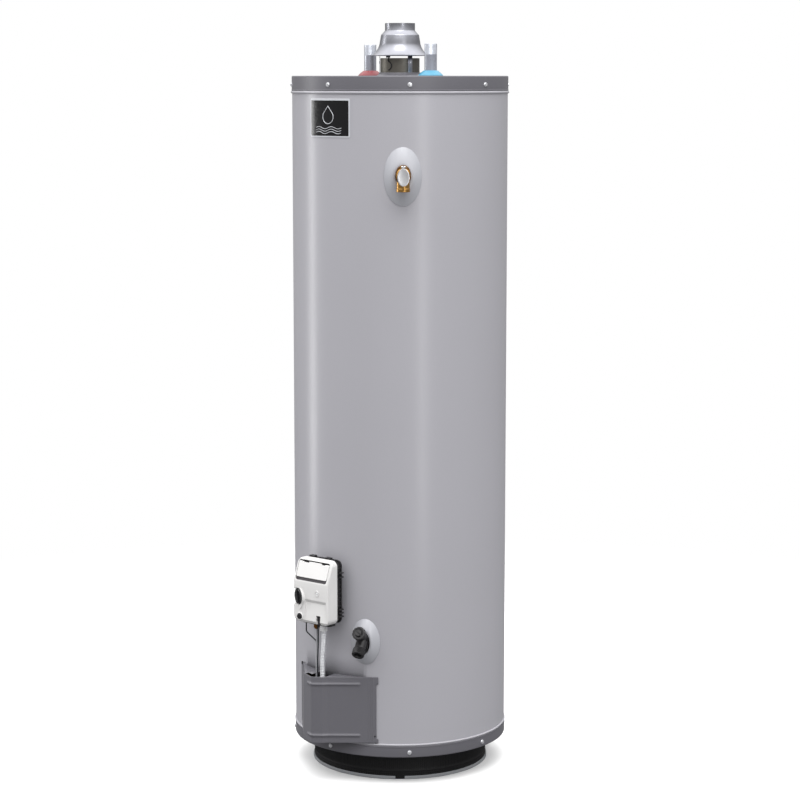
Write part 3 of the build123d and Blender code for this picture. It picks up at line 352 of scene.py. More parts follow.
class Finish:
    """A Principled material with object-space texture on its colour, roughness and surface."""

    def __init__(self, name, colour, roughness, metallic=0.0, **sockets):
        self.material = bpy.data.materials.new(name)
        self.slot = SLOTS.get(name, name)
        self.material.use_nodes = True
        self.tree = self.material.node_tree
        self.shader = self.tree.nodes["Principled BSDF"]
        self.set("Base Color", (*colour, 1.0))
        self.set("Roughness", roughness)
        self.set("Metallic", metallic)
        for socket, value in sockets.items():
            self.set(socket.replace("_", " "), value)
        self.place = self.tree.nodes.new("ShaderNodeTexCoord").outputs["Object"]
        self.normal = None

    def set(self, socket, value):
        self.shader.inputs[socket].default_value = value

    def noise(self, size, detail=3.0, stretch=(1, 1, 1), roughness=0.55):
        """Noise whose features are about size millimetres, stretched along the axes given."""
        scale = self.tree.nodes.new("ShaderNodeMapping")
        scale.inputs["Scale"].default_value = tuple(1 / s for s in stretch)
        self.tree.links.new(self.place, scale.inputs["Vector"])
        texture = self.tree.nodes.new("ShaderNodeTexNoise")
        texture.inputs["Scale"].default_value = 1000.0 / size
        texture.inputs["Detail"].default_value = detail
        texture.inputs["Roughness"].default_value = roughness
        self.tree.links.new(scale.outputs["Vector"], texture.inputs["Vector"])
        return texture.outputs["Fac"]

    def cells(self, size):
        """Cell pattern, about size millimetres a cell."""
        texture = self.tree.nodes.new("ShaderNodeTexVoronoi")
        texture.inputs["Scale"].default_value = 1000.0 / size
        self.tree.links.new(self.place, texture.inputs["Vector"])
        return texture

    def spread(self, value, from_low, from_high, to_low, to_high):
        node = self.tree.nodes.new("ShaderNodeMapRange")
        for socket, number in zip(("From Min", "From Max", "To Min", "To Max"),
                                  (from_low, from_high, to_low, to_high)):
            node.inputs[socket].default_value = number
        self.tree.links.new(value, node.inputs["Value"])
        return node.outputs["Result"]

    def tint(self, factor, low, high, bounds=(0.35, 0.65)):
        """Mixes the colour so far from low to high, both as multiples of it, over the factor's range."""
        ramp = self.tree.nodes.new("ShaderNodeValToRGB")
        for stop, place, share in zip(ramp.color_ramp.elements, bounds, (low, high)):
            stop.position = place
            stop.color = (*(share if isinstance(share, tuple) else (share,) * 3), 1.0)
        self.tree.links.new(factor, ramp.inputs["Fac"])
        mix = self.tree.nodes.new("ShaderNodeMix")
        mix.data_type, mix.blend_type = "RGBA", "MULTIPLY"
        mix.inputs["Factor"].default_value = 1.0
        base = self.shader.inputs["Base Color"]
        if base.links:
            self.tree.links.new(base.links[0].from_socket, mix.inputs["A"])
        else:
            mix.inputs["A"].default_value = base.default_value
        self.tree.links.new(ramp.outputs["Color"], mix.inputs["B"])
        self.tree.links.new(mix.outputs["Result"], base)
        return self

    def rough(self, factor, low, high):
        """Roughness from low to high over the middle of the factor's range."""
        self.tree.links.new(self.spread(factor, 0.3, 0.7, low, high), self.shader.inputs["Roughness"])
        return self

    def bump(self, factor, depth, strength=1.0):
        """Surface relief of about depth millimetres, on top of any there is."""
        node = self.tree.nodes.new("ShaderNodeBump")
        node.inputs["Strength"].default_value = strength
        node.inputs["Distance"].default_value = depth * MM
        self.tree.links.new(factor, node.inputs["Height"])
        if self.normal:
            self.tree.links.new(self.normal, node.inputs["Normal"])
        self.normal = node.outputs["Normal"]
        self.tree.links.new(self.normal, self.shader.inputs["Normal"])
        return self


def enamel(name, colour, roughness=0.34, peel=0.03):
    """Baked paint on sheet steel: orange peel, faint mottling and uneven gloss."""
    f = Finish(name, colour, roughness)
    f.tint(f.noise(260, 2), 0.99, 1.005)
    f.tint(f.noise(1.4, 2), 0.985, 1.015)
    f.rough(f.noise(90, 2), roughness - 0.005, roughness + 0.01)
    f.bump(f.noise(2.6, 2), peel, 0.35)
    return f


def moulded(name, colour, roughness=0.42, grain=0.02, mottle=0.03):
    """Moulded plastic with a fine spark-eroded grain."""
    f = Finish(name, colour, roughness)
    f.tint(f.noise(30, 3), 1 - mottle, 1 + mottle)
    f.rough(f.noise(6, 3), roughness - mottle, roughness + 2 * mottle)
    f.bump(f.noise(0.55, 2), grain, 0.5)
    return f


def metal(name, colour, roughness=0.3, stretch=(1, 1, 1), size=1.2, mark=0.02, metallic=1.0):
    """Worked metal with fine directional marks and handling stains."""
    f = Finish(name, colour, roughness, metallic=metallic)
    f.tint(f.noise(14, 4), 0.94, 1.03)
    f.rough(f.noise(size, 4, stretch), roughness - 0.05, roughness + 0.08)
    f.bump(f.noise(size * 0.7, 3, stretch), mark, 0.35)
    return f


def spangled(name, colour, roughness=0.3):
    """Hot-dip zinc: faint crystal spangle in colour and gloss."""
    f = Finish(name, colour, roughness, metallic=1.0)
    crystal = f.cells(9.0)
    split = f.tree.nodes.new("ShaderNodeSeparateColor")
    f.tree.links.new(crystal.outputs["Color"], split.inputs["Color"])
    f.tint(split.outputs["Red"], 0.965, 1.01, (0.0, 1.0))
    f.rough(split.outputs["Green"], roughness - 0.02, roughness + 0.03)
    f.bump(f.noise(1.6, 3), 0.015, 0.3)
    return f


def fibrous(name, colour, size, depth, stretch=(1, 1, 1)):
    """Foam, wool or gasket: matt and lumpy."""
    f = Finish(name, colour, 0.9, Sheen_Weight=0.15)
    f.tint(f.noise(size * 6, 3), 0.82, 1.08)
    f.tint(f.noise(size, 4, stretch), 0.85, 1.1)
    f.bump(f.noise(size, 4, stretch), depth, 0.8)
    return f


JACKET_PAINT = enamel("jacket_paint", srgb(175, 174, 180), 0.28)
COVER_PAINT = enamel("cover_paint", srgb(104, 103, 109), 0.4, peel=0.04)
DOOR_PAINT = enamel("door_paint", srgb(105, 104, 110), 0.36, peel=0.04)
TRIM = enamel("trim_grey", srgb(150, 152, 156), 0.4)
# gas nut: a plated nut whose near-white colour is partly a painted highlight
NUT_PAINTED_HIGHLIGHT = metal("nut_plating_painted_highlight", srgb(250, 250, 251), 0.3, mark=0.006, metallic=0.35)
ZINC = metal("zinc_screw", srgb(232, 233, 236), 0.26, mark=0.01, metallic=0.7)
GALVANISED = spangled("galvanised", srgb(158, 159, 166), 0.34)
PIPE = metal("pipe_zinc", srgb(206, 210, 218), 0.3, stretch=(1, 1, 14), size=1.6, metallic=0.75)
FLUE = metal("flue_steel", srgb(116, 113, 106), 0.45, size=6)
STEEL = metal("plain_steel", srgb(150, 150, 152), 0.36)
TANK = enamel("tank_enamel", srgb(52, 66, 82), 0.3)
FOAM = fibrous("foam", srgb(228, 205, 150), 3.0, 0.8)
WOOL = fibrous("glass_wool", srgb(226, 208, 128), 1.2, 0.9, (6, 6, 1))
GASKET = fibrous("gasket_fibre", srgb(222, 214, 198), 0.8, 0.3)
CAST = metal("cast_burner", srgb(96, 94, 92), 0.62, size=2.4, mark=0.2)
BRASS = metal("brass", srgb(186, 142, 80), 0.3)
BROWN_BRASS = metal("dull_brass", srgb(120, 82, 44), 0.36)
MAGNESIUM = metal("magnesium", srgb(170, 170, 172), 0.45)
DULL_TUBE = metal("dull_tube", srgb(188, 189, 193), 0.4, size=2.0, mark=0.006, metallic=0.2)
ALUMINIUM = metal("tube_aluminium", srgb(222, 223, 226), 0.34, stretch=(1, 1, 8), mark=0.006, metallic=0.45)
TAG = metal("tag_aluminium", srgb(240, 240, 242), 0.34, stretch=(1, 8, 1))
RED = moulded("red_plastic", srgb(142, 58, 64), 0.3)
BLUE = moulded("blue_plastic", srgb(84, 156, 186), 0.3)
WHITE = moulded("white_plastic", srgb(228, 227, 226), 0.36, mottle=0.01)
# dark grey for the gap below the lid and the back of the cable notch: painted shade of those hollows over the
# black body seen there
PAINTED_SHADE_GREY = moulded("painted_shade_grey", srgb(62, 58, 62), 0.5, mottle=0.01)
BLACK = moulded("black_plastic", srgb(34, 33, 35), 0.4, grain=0.03)
GLOSS_BLACK = moulded("gloss_black_plastic", srgb(20, 20, 22), 0.2, grain=0.006)
SCREEN = moulded("black_screen", srgb(15, 15, 17), 0.5, grain=0.02)
ESCUTCHEON = moulded("escutcheon_grey", srgb(182, 183, 189), 0.22, grain=0.004, mottle=0.006)
BADGE_BLACK = moulded("badge_black", srgb(16, 16, 18), 0.16, grain=0.004)
BADGE_SILVER = moulded("badge_silver", srgb(206, 208, 213), 0.3, grain=0.006)
SLEEVE = moulded("lead_sleeve", srgb(26, 28, 36), 0.45)
LENS = Finish("lens", srgb(240, 241, 241), 0.12, Transmission_Weight=0.05, IOR=1.49)
LENS.tint(LENS.noise(3, 2), 0.97, 1.02)
GLASS = Finish("sight_glass", srgb(232, 242, 240), 0.06, Transmission_Weight=0.9, IOR=1.5)
GLASS.rough(GLASS.noise(8, 3), 0.04, 0.12)

# nodes that are shown as they are
NODE_FINISH = {
    "anode_rod": MAGNESIUM, "base_pan": GALVANISED, "burner_feed_tube": STEEL, "burner_head": CAST,
    "chamber_insulation": WOOL, "combustion_chamber": STEEL, "dip_tube": WHITE,
    "flame_arrestor": STEEL, "flue_baffle": FLUE, "foam_insulation": FOAM, "gas_knob_stem": ZINC,
    "inner_burner_door": STEEL, "inner_door_gasket": GASKET, "inner_door_screws": ZINC,
    "lid_hinge_pin": ZINC, "pilot_assembly": STEEL, "relief_valve_probe": BRASS, "sight_glass": GLASS,
    "tank_bottom_head": TANK, "tank_shell": TANK, "tank_spuds": STEEL, "tank_top_head": TANK,
    "thermostat_probe": BRASS,
}
for node, finish in NODE_FINISH.items():
    apply_finish(NODES[node], finish)


# ---------------------------------------------------------------- camera, light and floor
scene = bpy.context.scene
scene.view_settings.view_transform = "Standard"
VIEW_ANGLE, VIEW_OUT, VIEW_HEIGHT, VIEW_DROP = 40.0, 4908.1, 1475.99, 7.977
camera_data = bpy.data.cameras.new("camera")
camera_data.lens = 103.18
camera = bpy.data.objects.new("camera", camera_data)
camera.location = spot(VIEW_ANGLE, VIEW_OUT, VIEW_HEIGHT) * MM
camera.rotation_euler = (math.radians(90 - VIEW_DROP), 0, math.radians(VIEW_ANGLE))
scene.collection.objects.link(camera)
scene.camera = camera


def studio_world():
    """Bright overhead, softer round the horizon; plain white behind the object."""
    world = bpy.data.worlds.new("studio")
    scene.world = world
    world.use_nodes = True
    tree = world.node_tree
    tree.nodes.clear()
    ways = tree.nodes.new("ShaderNodeTexCoord").outputs["Generated"]
    split = tree.nodes.new("ShaderNodeSeparateXYZ")
    tree.links.new(ways, split.inputs["Vector"])
    rise = tree.nodes.new("ShaderNodeMapRange")
    rise.interpolation_type = "SMOOTHSTEP"
    rise.inputs["From Min"].default_value, rise.inputs["From Max"].default_value = 0.12, 0.85
    rise.inputs["To Min"].default_value, rise.inputs["To Max"].default_value = 0.4, 2.9
    tree.links.new(split.outputs["Z"], rise.inputs["Value"])
    light = tree.nodes.new("ShaderNodeBackground")
    tree.links.new(rise.outputs["Result"], light.inputs["Strength"])
    seen = tree.nodes.new("ShaderNodeBackground")
    seen.inputs["Color"].default_value = (1, 1, 1, 1)
    mix = tree.nodes.new("ShaderNodeMixShader")
    tree.links.new(tree.nodes.new("ShaderNodeLightPath").outputs["Is Camera Ray"], mix.inputs["Fac"])
    tree.links.new(light.outputs[0], mix.inputs[1])
    tree.links.new(seen.outputs[0], mix.inputs[2])
    tree.links.new(mix.outputs[0], tree.nodes.new("ShaderNodeOutputWorld").inputs["Surface"])


def soft_box(name, angle, out, height, width, tall, power, aim=(0, 0, 0.8)):
    """Rectangular studio light aimed at the object."""
    data = bpy.data.lights.new(name, "AREA")
    data.shape, data.size, data.size_y, data.energy = "RECTANGLE", width, tall, power
    lamp = bpy.data.objects.new(name, data)
    lamp.location = spot(angle, out, height) * MM
    lamp.rotation_euler = (Vector(aim) - lamp.location).to_track_quat("-Z", "Y").to_euler()
    lamp.visible_camera = False
    scene.collection.objects.link(lamp)


def studio_floor():
    """White floor that fades out round the object and throws little light back up at it."""
    floor = mesh_object("floor", lathe([(0, 0), (2500, 0), (9000, 0)], upright(), 128), sheet=True)
    paint = Finish("floor_paint", srgb(252, 252, 252), 0.8, Specular_IOR_Level=0.0)
    paint.tint(paint.noise(500, 2), 0.998, 1.0)
    tree = paint.tree
    reach = tree.nodes.new("ShaderNodeVectorMath")
    reach.operation = "LENGTH"
    tree.links.new(paint.place, reach.inputs[0])
    tree.links.new(paint.spread(reach.outputs["Value"], 1.0, 2.4, 1.0, 0.0), paint.shader.inputs["Alpha"])
    dim = tree.nodes.new("ShaderNodeBsdfDiffuse")
    dim.inputs["Color"].default_value = (0.15, 0.15, 0.153, 1.0)
    pick = tree.nodes.new("ShaderNodeMixShader")
    tree.links.new(tree.nodes.new("ShaderNodeLightPath").outputs["Is Camera Ray"], pick.inputs["Fac"])
    tree.links.new(dim.outputs[0], pick.inputs[1])
    tree.links.new(paint.shader.outputs[0], pick.inputs[2])
    tree.links.new(pick.outputs[0], tree.nodes["Material Output"].inputs["Surface"])
    floor.data.materials.append(paint.material)


studio_world()
soft_box("strip_left", VIEW_ANGLE - 104, 2600, 1000, 0.34, 2.6, 20)
soft_box("strip_right", VIEW_ANGLE + 23, 2600, 1000, 0.26, 2.6, 11)
soft_box("overhead", VIEW_ANGLE, 1500, 3300, 1.6, 1.2, 22)
studio_floor()


# ---------------------------------------------------------------- casing
def jacket_radius(height):
    """Sheet radius with its two rolled beads."""
    for bead, size in ((UPPER_BEAD_Z, UPPER_BEAD_R), (LOWER_BEAD_Z, LOWER_BEAD_R)):
        away = abs(height - bead)
        if away < size:
            return JACKET_R + math.sqrt(size**2 - away**2)
    return JACKET_R


def make_jacket():
    """Rolled sheet with beads, the burner access hole and the lock seam down its back."""
    bead = [math.sin(math.radians(a)) for a in range(-90, 91, 15)]
    heights = [66, 75] + [LOWER_BEAD_Z + LOWER_BEAD_R * b for b in bead] + [96, 126, 157, 188, 218]
    heights += [218 + (UPPER_BEAD_Z - 6 - 218) * i / 24 for i in range(1, 25)]
    heights += [UPPER_BEAD_Z + UPPER_BEAD_R * b for b in bead] + [1456, 1470]
    seam_half = math.degrees(7 / JACKET_R)
    angles = sorted(
        [1.5 * i for i in range(240) if abs(1.5 * i - 180) > 2]
        + [180 - seam_half - 0.25, 180 - seam_half, 180 - 0.4, 180, 180 + seam_half, 180 + seam_half + 0.25]
    )

    def point(i, j):
        angle, z = angles[i], heights[j]
        raised = 1.0 if abs(angle - 180) <= seam_half + 0.01 and 97 < z < 1437 else 0.0
        return spot(angle, jacket_radius(z) + raised, z)

    def keep(i, j):
        nxt = angles[(i + 1) % len(angles)]
        in_front = (angles[i] < 21 and nxt <= 21) or (angles[i] >= 339)
        return not (in_front and heights[j] >= 96 and heights[j + 1] <= 218)

    return piece("jacket_sheet", grid(len(angles), len(heights), point, keep, wrap=True),
                 JACKET_PAINT, replaces=["jacket"], thick=0.8, sharp=50)


def make_covers():
    """Top and bottom covers: a rolled corner, a hemmed flange edge and a stamped groove."""
    sheet = 0.8
    corner = arc((COVER_R - 2.5, JACKET_TOP - 2.5), 2.5, 0, 90, 6)
    groove = [(212, JACKET_TOP), (210.5, JACKET_TOP - 0.15), (208, JACKET_TOP - 0.3),
              (203, JACKET_TOP - 0.3), (200.5, JACKET_TOP - 0.15), (199, JACKET_TOP)]
    collar = [(52, JACKET_TOP), (49.5, JACKET_TOP + 0.5), (46, JACKET_TOP + 0.6),
              (FLUE_R + 2.5, JACKET_TOP + 0.2)]
    hem = [(COVER_R - sheet, FLANGE_Z), (COVER_R + 0.3, FLANGE_Z - 0.05),
           (COVER_R + 0.55, FLANGE_Z + 0.8), (COVER_R + 0.5, FLANGE_Z + 2.2), (COVER_R, FLANGE_Z + 2.8)]
    outer = hem + corner + groove + collar
    inner = [(FLUE_R + 2.5, JACKET_TOP - sheet), (COVER_R - sheet, JACKET_TOP - sheet)]
    piece("top_cover_pan", lathe(outer + inner, upright(), 240, closed=True), COVER_PAINT,
          replaces=["top_cover"])
    low_corner = arc((COVER_R - 2.5, BOTTOM_Z + 2.5), 2.5, 0, -90, 6)
    hem = [(COVER_R - sheet, BOTTOM_SKIRT_Z), (COVER_R + 0.3, BOTTOM_SKIRT_Z + 0.05),
           (COVER_R + 0.55, BOTTOM_SKIRT_Z - 0.8), (COVER_R + 0.5, BOTTOM_SKIRT_Z - 2.2),
           (COVER_R, BOTTOM_SKIRT_Z - 2.8)]
    inner = [(178, BOTTOM_Z), (178, BOTTOM_Z + sheet), (COVER_R - sheet, BOTTOM_Z + sheet)]
    piece("bottom_cover_pan", lathe(hem + low_corner + inner, upright(), 240, closed=True), COVER_PAINT,
          replaces=["bottom_cover"])


def screw(place):
    """Hex washer-head screw standing on the frame's xy plane."""
    washer = lathe([(0, 0), (4.7, 0), (4.7, 0.5), (4.3, 0.95), (3.7, 1.1), (0, 1.1)], place, 32)
    hexagon = prism(polygon(3.7, 6), 1.0, 2.9, place)
    crown = lathe([(0, 3.0), (2.1, 3.0), (3.0, 2.86)], place, 24)
    return joined([washer, hexagon, crown])


def make_screws():
    """Eight screws round each cover."""
    for height, name, node in ((SCREW_Z[0], "top", "top_cover_screws"),
                               (SCREW_Z[1], "bottom", "bottom_cover_screws")):
        heads = [screw(outward(45 * i, COVER_R, height) @ Matrix.Rotation(0.4 * i, 4, "Z"))
                 for i in range(8)]
        piece(f"{name}_screw_heads", heads, ZINC, replaces=[node], bevel=0.25)


def curved_plate(width, height, radius, centre_z, angle, out_low, out_high, step=3.0):
    """Rounded plate that follows the jacket, as a closed shape."""
    outline = rectangle(width, height, radius, steps=5)

    def at(x, y, out):
        return spot(angle + math.degrees(x / JACKET_R), out, centre_z + y)

    dense = []
    for (x, y), (u, v) in zip(outline, outline[1:] + outline[:1]):
        count = max(1, round(math.hypot(u - x, v - y) / step))
        dense += [(x + (u - x) * i / count, y + (v - y) * i / count) for i in range(count)]
    shells = [(out_low, 1.0)] + [(out_high, 1 - k / 8) for k in range(9)]
    return stack([[at(x * share, y * share, out) for x, y in dense] for out, share in shells])


def make_badge():
    """Black plate in a silver frame, with a plain drop and three waves."""
    centre_z = 1396.5
    piece("badge_frame", curved_plate(108, 79, 3, centre_z, 0, JACKET_R + 0.05, JACKET_R + 0.9),
          BADGE_SILVER, replaces=["nameplate"], bevel=0.25)
    piece("badge_face", curved_plate(102, 72, 1.5, centre_z - 0.6, 0, JACKET_R + 0.5, JACKET_R + 1.2),
          BADGE_BLACK)

    def on_face(points):
        return [spot(math.degrees(x / JACKET_R), JACKET_R + 1.25, centre_z + y) for x, y in points]

    drop = [(0, 24)] + arc((0, 2), 14, 35, -215, 28) + [(0, 24)]
    waves = [[(x, -20 - 5 * k + 2.2 * math.sin(x / 5.5)) for x in range(-34, 35, 2)] for k in range(3)]
    lines = [sweep(resampled(on_face(drop), 1.5), 0.7, 8)] + [sweep(on_face(w), 0.55, 8) for w in waves]
    piece("badge_motif", lines, BADGE_SILVER)


# ---------------------------------------------------------------- base
def make_base():
    """Slotted air intake screen with its trim band."""
    slots = 288
    low, high = 1.0, BOTTOM_Z
    heights = [low, 4.5, 7.5, 9, 12, 13.5, 16.5, 18, 21, 23, 54, high]
    shares = (0.0, 0.3, 0.4, 0.9)
    angles = [(i + s) * 360 / slots for i in range(slots) for s in shares]

    def point(i, j):
        sunk = 1.1 if (i % 4) in (2, 3) and 20 < heights[j] < 55 else 0.0
        return spot(angles[i], BASE_R - sunk, heights[j])

    def keep(i, j):
        return not ((i % 4) == 2 and (heights[j], heights[j + 1]) in {(9, 12), (13.5, 16.5), (4.5, 7.5)})

    piece("intake_screen", grid(len(angles), len(heights), point, keep, wrap=True), SCREEN,
          replaces=["air_intake_ring"], thick=0.7, sharp=25)
    inside = [(BASE_R - 3, 1.2), (BASE_R - 3, high)]
    piece("intake_liner", lathe(inside, upright(), 96), SCREEN, thick=0.6)
    trim = [(BASE_R + 0.1, 0.2), (BASE_R + 1.9, 0.2), (BASE_R + 2.4, 0.9), (BASE_R + 2.4, 5.9),
            (BASE_R + 1.8, 6.9), (BASE_R + 0.1, 7.0)]
    half_gap = math.degrees(10 / BASE_R)
    # the lathe's angle runs from +X, the part's from -Y
    piece("base_trim_band",
          lathe(trim, upright(), 240, closed=True, start=TRIM_GAP_ANGLE - 90 + half_gap,
                span=360 - 2 * half_gap),
          TRIM, replaces=["base_trim_ring"], bevel=0.3)


# ---------------------------------------------------------------- flue, hood and pipes
def make_hood():
    """Spun draft hood: collar, shoulder, bell and flared skirt with a rolled lip."""
    top = HOOD_TOP
    outside = [(31.75, top), (31.75, top - 14.8), (32.3, top - 16.0), (38.2, top - 22.6),
               (40.0, top - 24.2), (40.4, top - 25.6), (43.0, top - 41)]
    flare = []
    for i in range(1, 15):
        t = i / 14
        flare.append((43.0 + 17.0 * t ** 1.5, top - 41 - 26 * (1 - (1 - t) ** 1.25)))
    lip = [(60.0, top - 67.5), (59.6, top - 68.0), (58.9, top - 67.7)]
    inside = [(r - 0.9, z - 0.3) for r, z in reversed(outside[1:] + flare[:-1])] + [(30.85, top)]
    piece("draft_hood_spun", lathe(outside + flare + lip + inside, upright(), 128, closed=True),
          GALVANISED, replaces=["draft_hood"], sharp=40)
    legs = []
    for angle in LEG_ANGLES:
        path = [(51.6, 1482.6), (45.0, 1482.6), (43.4, 1484.4), (43.3, 1500), (43.3, 1545)]
        turns = [angle + 7 * k / 6 for k in range(-6, 7)]
        legs.append(grid(len(turns), len(path), lambda i, j, p=path, t=turns: spot(t[i], *p[j])))
    piece("draft_hood_straps", legs, GALVANISED, replaces=["draft_hood_legs"], thick=0.9)
    rivet = [(2.6, 0), (2.5, 0.5), (1.7, 1.2), (0, 1.6)]
    rivets = [lathe(rivet, outward(angle, 43.2, 1510), 20) for angle in LEG_ANGLES]
    piece("draft_hood_rivets", rivets, ZINC)


def make_flue():
    """Welded flue with its foot collar, and the baffle's hanger bar and wire hook over its top edge."""
    low, hanger_z = 285, 1503
    wall = [(FLUE_R, low), (FLUE_R, FLUE_TOP - 0.8), (FLUE_R - 0.75, FLUE_TOP),
            (FLUE_R - 1.5, FLUE_TOP - 0.8), (FLUE_R - 1.5, low)]
    piece("flue_pipe", lathe(wall, upright(), 128, closed=True), FLUE, replaces=["flue_tube"])
    foot = JACKET_TOP + 0.15
    collar = [(49.5, foot), (47.5, foot + 1.6), (45.4, foot + 3.4), (44.6, foot + 6.6),
              (42.6, foot + 7.0), (FLUE_R + 0.1, foot + 7.0), (FLUE_R + 0.1, foot)]
    piece("flue_foot_collar", lathe(collar, upright(), 128, closed=True), COVER_PAINT)
    place = outward(9, FLUE_R + 0.9, hanger_z)
    hook = [place @ Vector((x, y, 0)) for x, y in arc((-5, 0), 9, 78, -78, 20)]
    over = [place @ Vector((-3.5, 15.5, -2.4)), place @ Vector((-3.2, 14.0, 0))]
    piece("baffle_hanger", sweep(over + hook, 1.0, 10), SCREEN, slot="flue_steel")
    bar = prism(rectangle(10, 3.6, 0.8, (-4, FLUE_TOP + 2.6 - hanger_z)), -1.2, 0.2, place)
    lug = prism(rectangle(2.4, 5.0, 0.6, (-4, FLUE_TOP - hanger_z)), -4.2, -2.9, place)
    piece("baffle_hanger_bar", [bar, lug], SCREEN, slot="flue_steel", bevel=0.2)


def thread(radius, pitch, depth, start):
    """Shape function for a helical thread above a start height."""
    def shape(r, h, turn):
        if r < radius - 0.01 or h < start:
            return r
        phase = ((h / pitch) - turn / (2 * math.pi)) % 1.0
        return r - depth * abs(2 * phase - 1)
    return shape


def make_nipples():
    """Threaded pipe nipples standing in their coloured rings."""
    bore, thread_r, pipe_r = 10.4, 13.35, 13.0
    foot, cut, pitch, depth = 1470, 22.0, 1.81, 0.6
    for angle, side, ring in ((COLD_ANGLE, "cold", BLUE), (COLD_ANGLE + 180, "hot", RED)):
        x, y, _ = spot(angle, NIPPLE_OUT, 0)
        start = NIPPLE_TOP - cut
        turns = [(thread_r, start + 0.3 * k) for k in range(int((cut - 1) / 0.3) + 1)]
        wall = [(pipe_r, foot), (pipe_r, start - 0.4)] + turns
        wall += [(thread_r - 0.9, NIPPLE_TOP), (bore + 0.5, NIPPLE_TOP), (bore, NIPPLE_TOP - 0.6),
                 (bore, foot)]
        piece(f"{side}_pipe",
              lathe(wall, upright(x, y), 64, closed=True, shape=thread(thread_r, pitch, depth, start)),
              PIPE, replaces=[f"{side}_nipple"], sharp=60)
        cone = [(13.3, 10.4), (14.2, 11.0), (15.2, 10.6), (17.5, 8.8), (20.5, 6.5), (23.5, 3.8),
                (25.4, 1.9), (26, 1.0), (25.8, 0.05), (13.3, 0.05)]
        cone = [(size, JACKET_TOP + up) for size, up in cone]
        piece(f"{side}_marker_ring", lathe(cone, upright(x, y), 72, closed=True), ring,
              replaces=[f"{side}_ring"])


# ---------------------------------------------------------------- escutcheons
def escutcheon(name, angle, height, rim, crown, hole, node):
    """Oval dished cover: a lip on the jacket, sides that rise to a crown, and the hole for its fitting."""
    steps, rises = 120, 16
    crown_out = crown[2]
    stations = [(i / rises, 1 - (1 - i / rises) ** 1.3) for i in range(rises + 1)]

    def point(i, j):
        turn = 2 * math.pi * i / steps
        rim_x = rim[0] * math.cos(turn)
        seat = math.sqrt((JACKET_R + 0.1) ** 2 - rim_x * rim_x)
        if j == 0:
            w, h, out = rim[0], rim[1], seat
        elif j <= rises + 1:
            share, lift = stations[j - 1]
            w, h = (rim[k] + (crown[k] - rim[k]) * share for k in (0, 1))
            out = seat + 1.0 + (crown_out - seat - 1.0) * lift
        else:
            share, drop = ((0.5, 0.0), (1.0, -0.5), (1.0, -7.0))[j - rises - 2]
            w, h = (crown[k] + (hole[k] - crown[k]) * share for k in (0, 1))
            out = crown_out + drop
        return outward(angle, out, height) @ Vector((w * math.cos(turn), h * math.sin(turn), 0))

    piece(name, grid(steps, rises + 5, point, wrap=True), ESCUTCHEON,
          replaces=[node], thick=1.2, sharp=32)


def make_escutcheons():
    """The covers round the relief valve and the drain valve."""
    escutcheon("relief_cover_plate", RELIEF_ANGLE, RELIEF_Z, (39, 60), (20.5, 24.5, 242.3), (16.5, 16.5),
               "relief_escutcheon")
    escutcheon("drain_cover_plate", DRAIN_ANGLE, DRAIN_Z, (32.5, 48.7), (17.5, 28, 242), (14.5, 24),
               "drain_escutcheon")


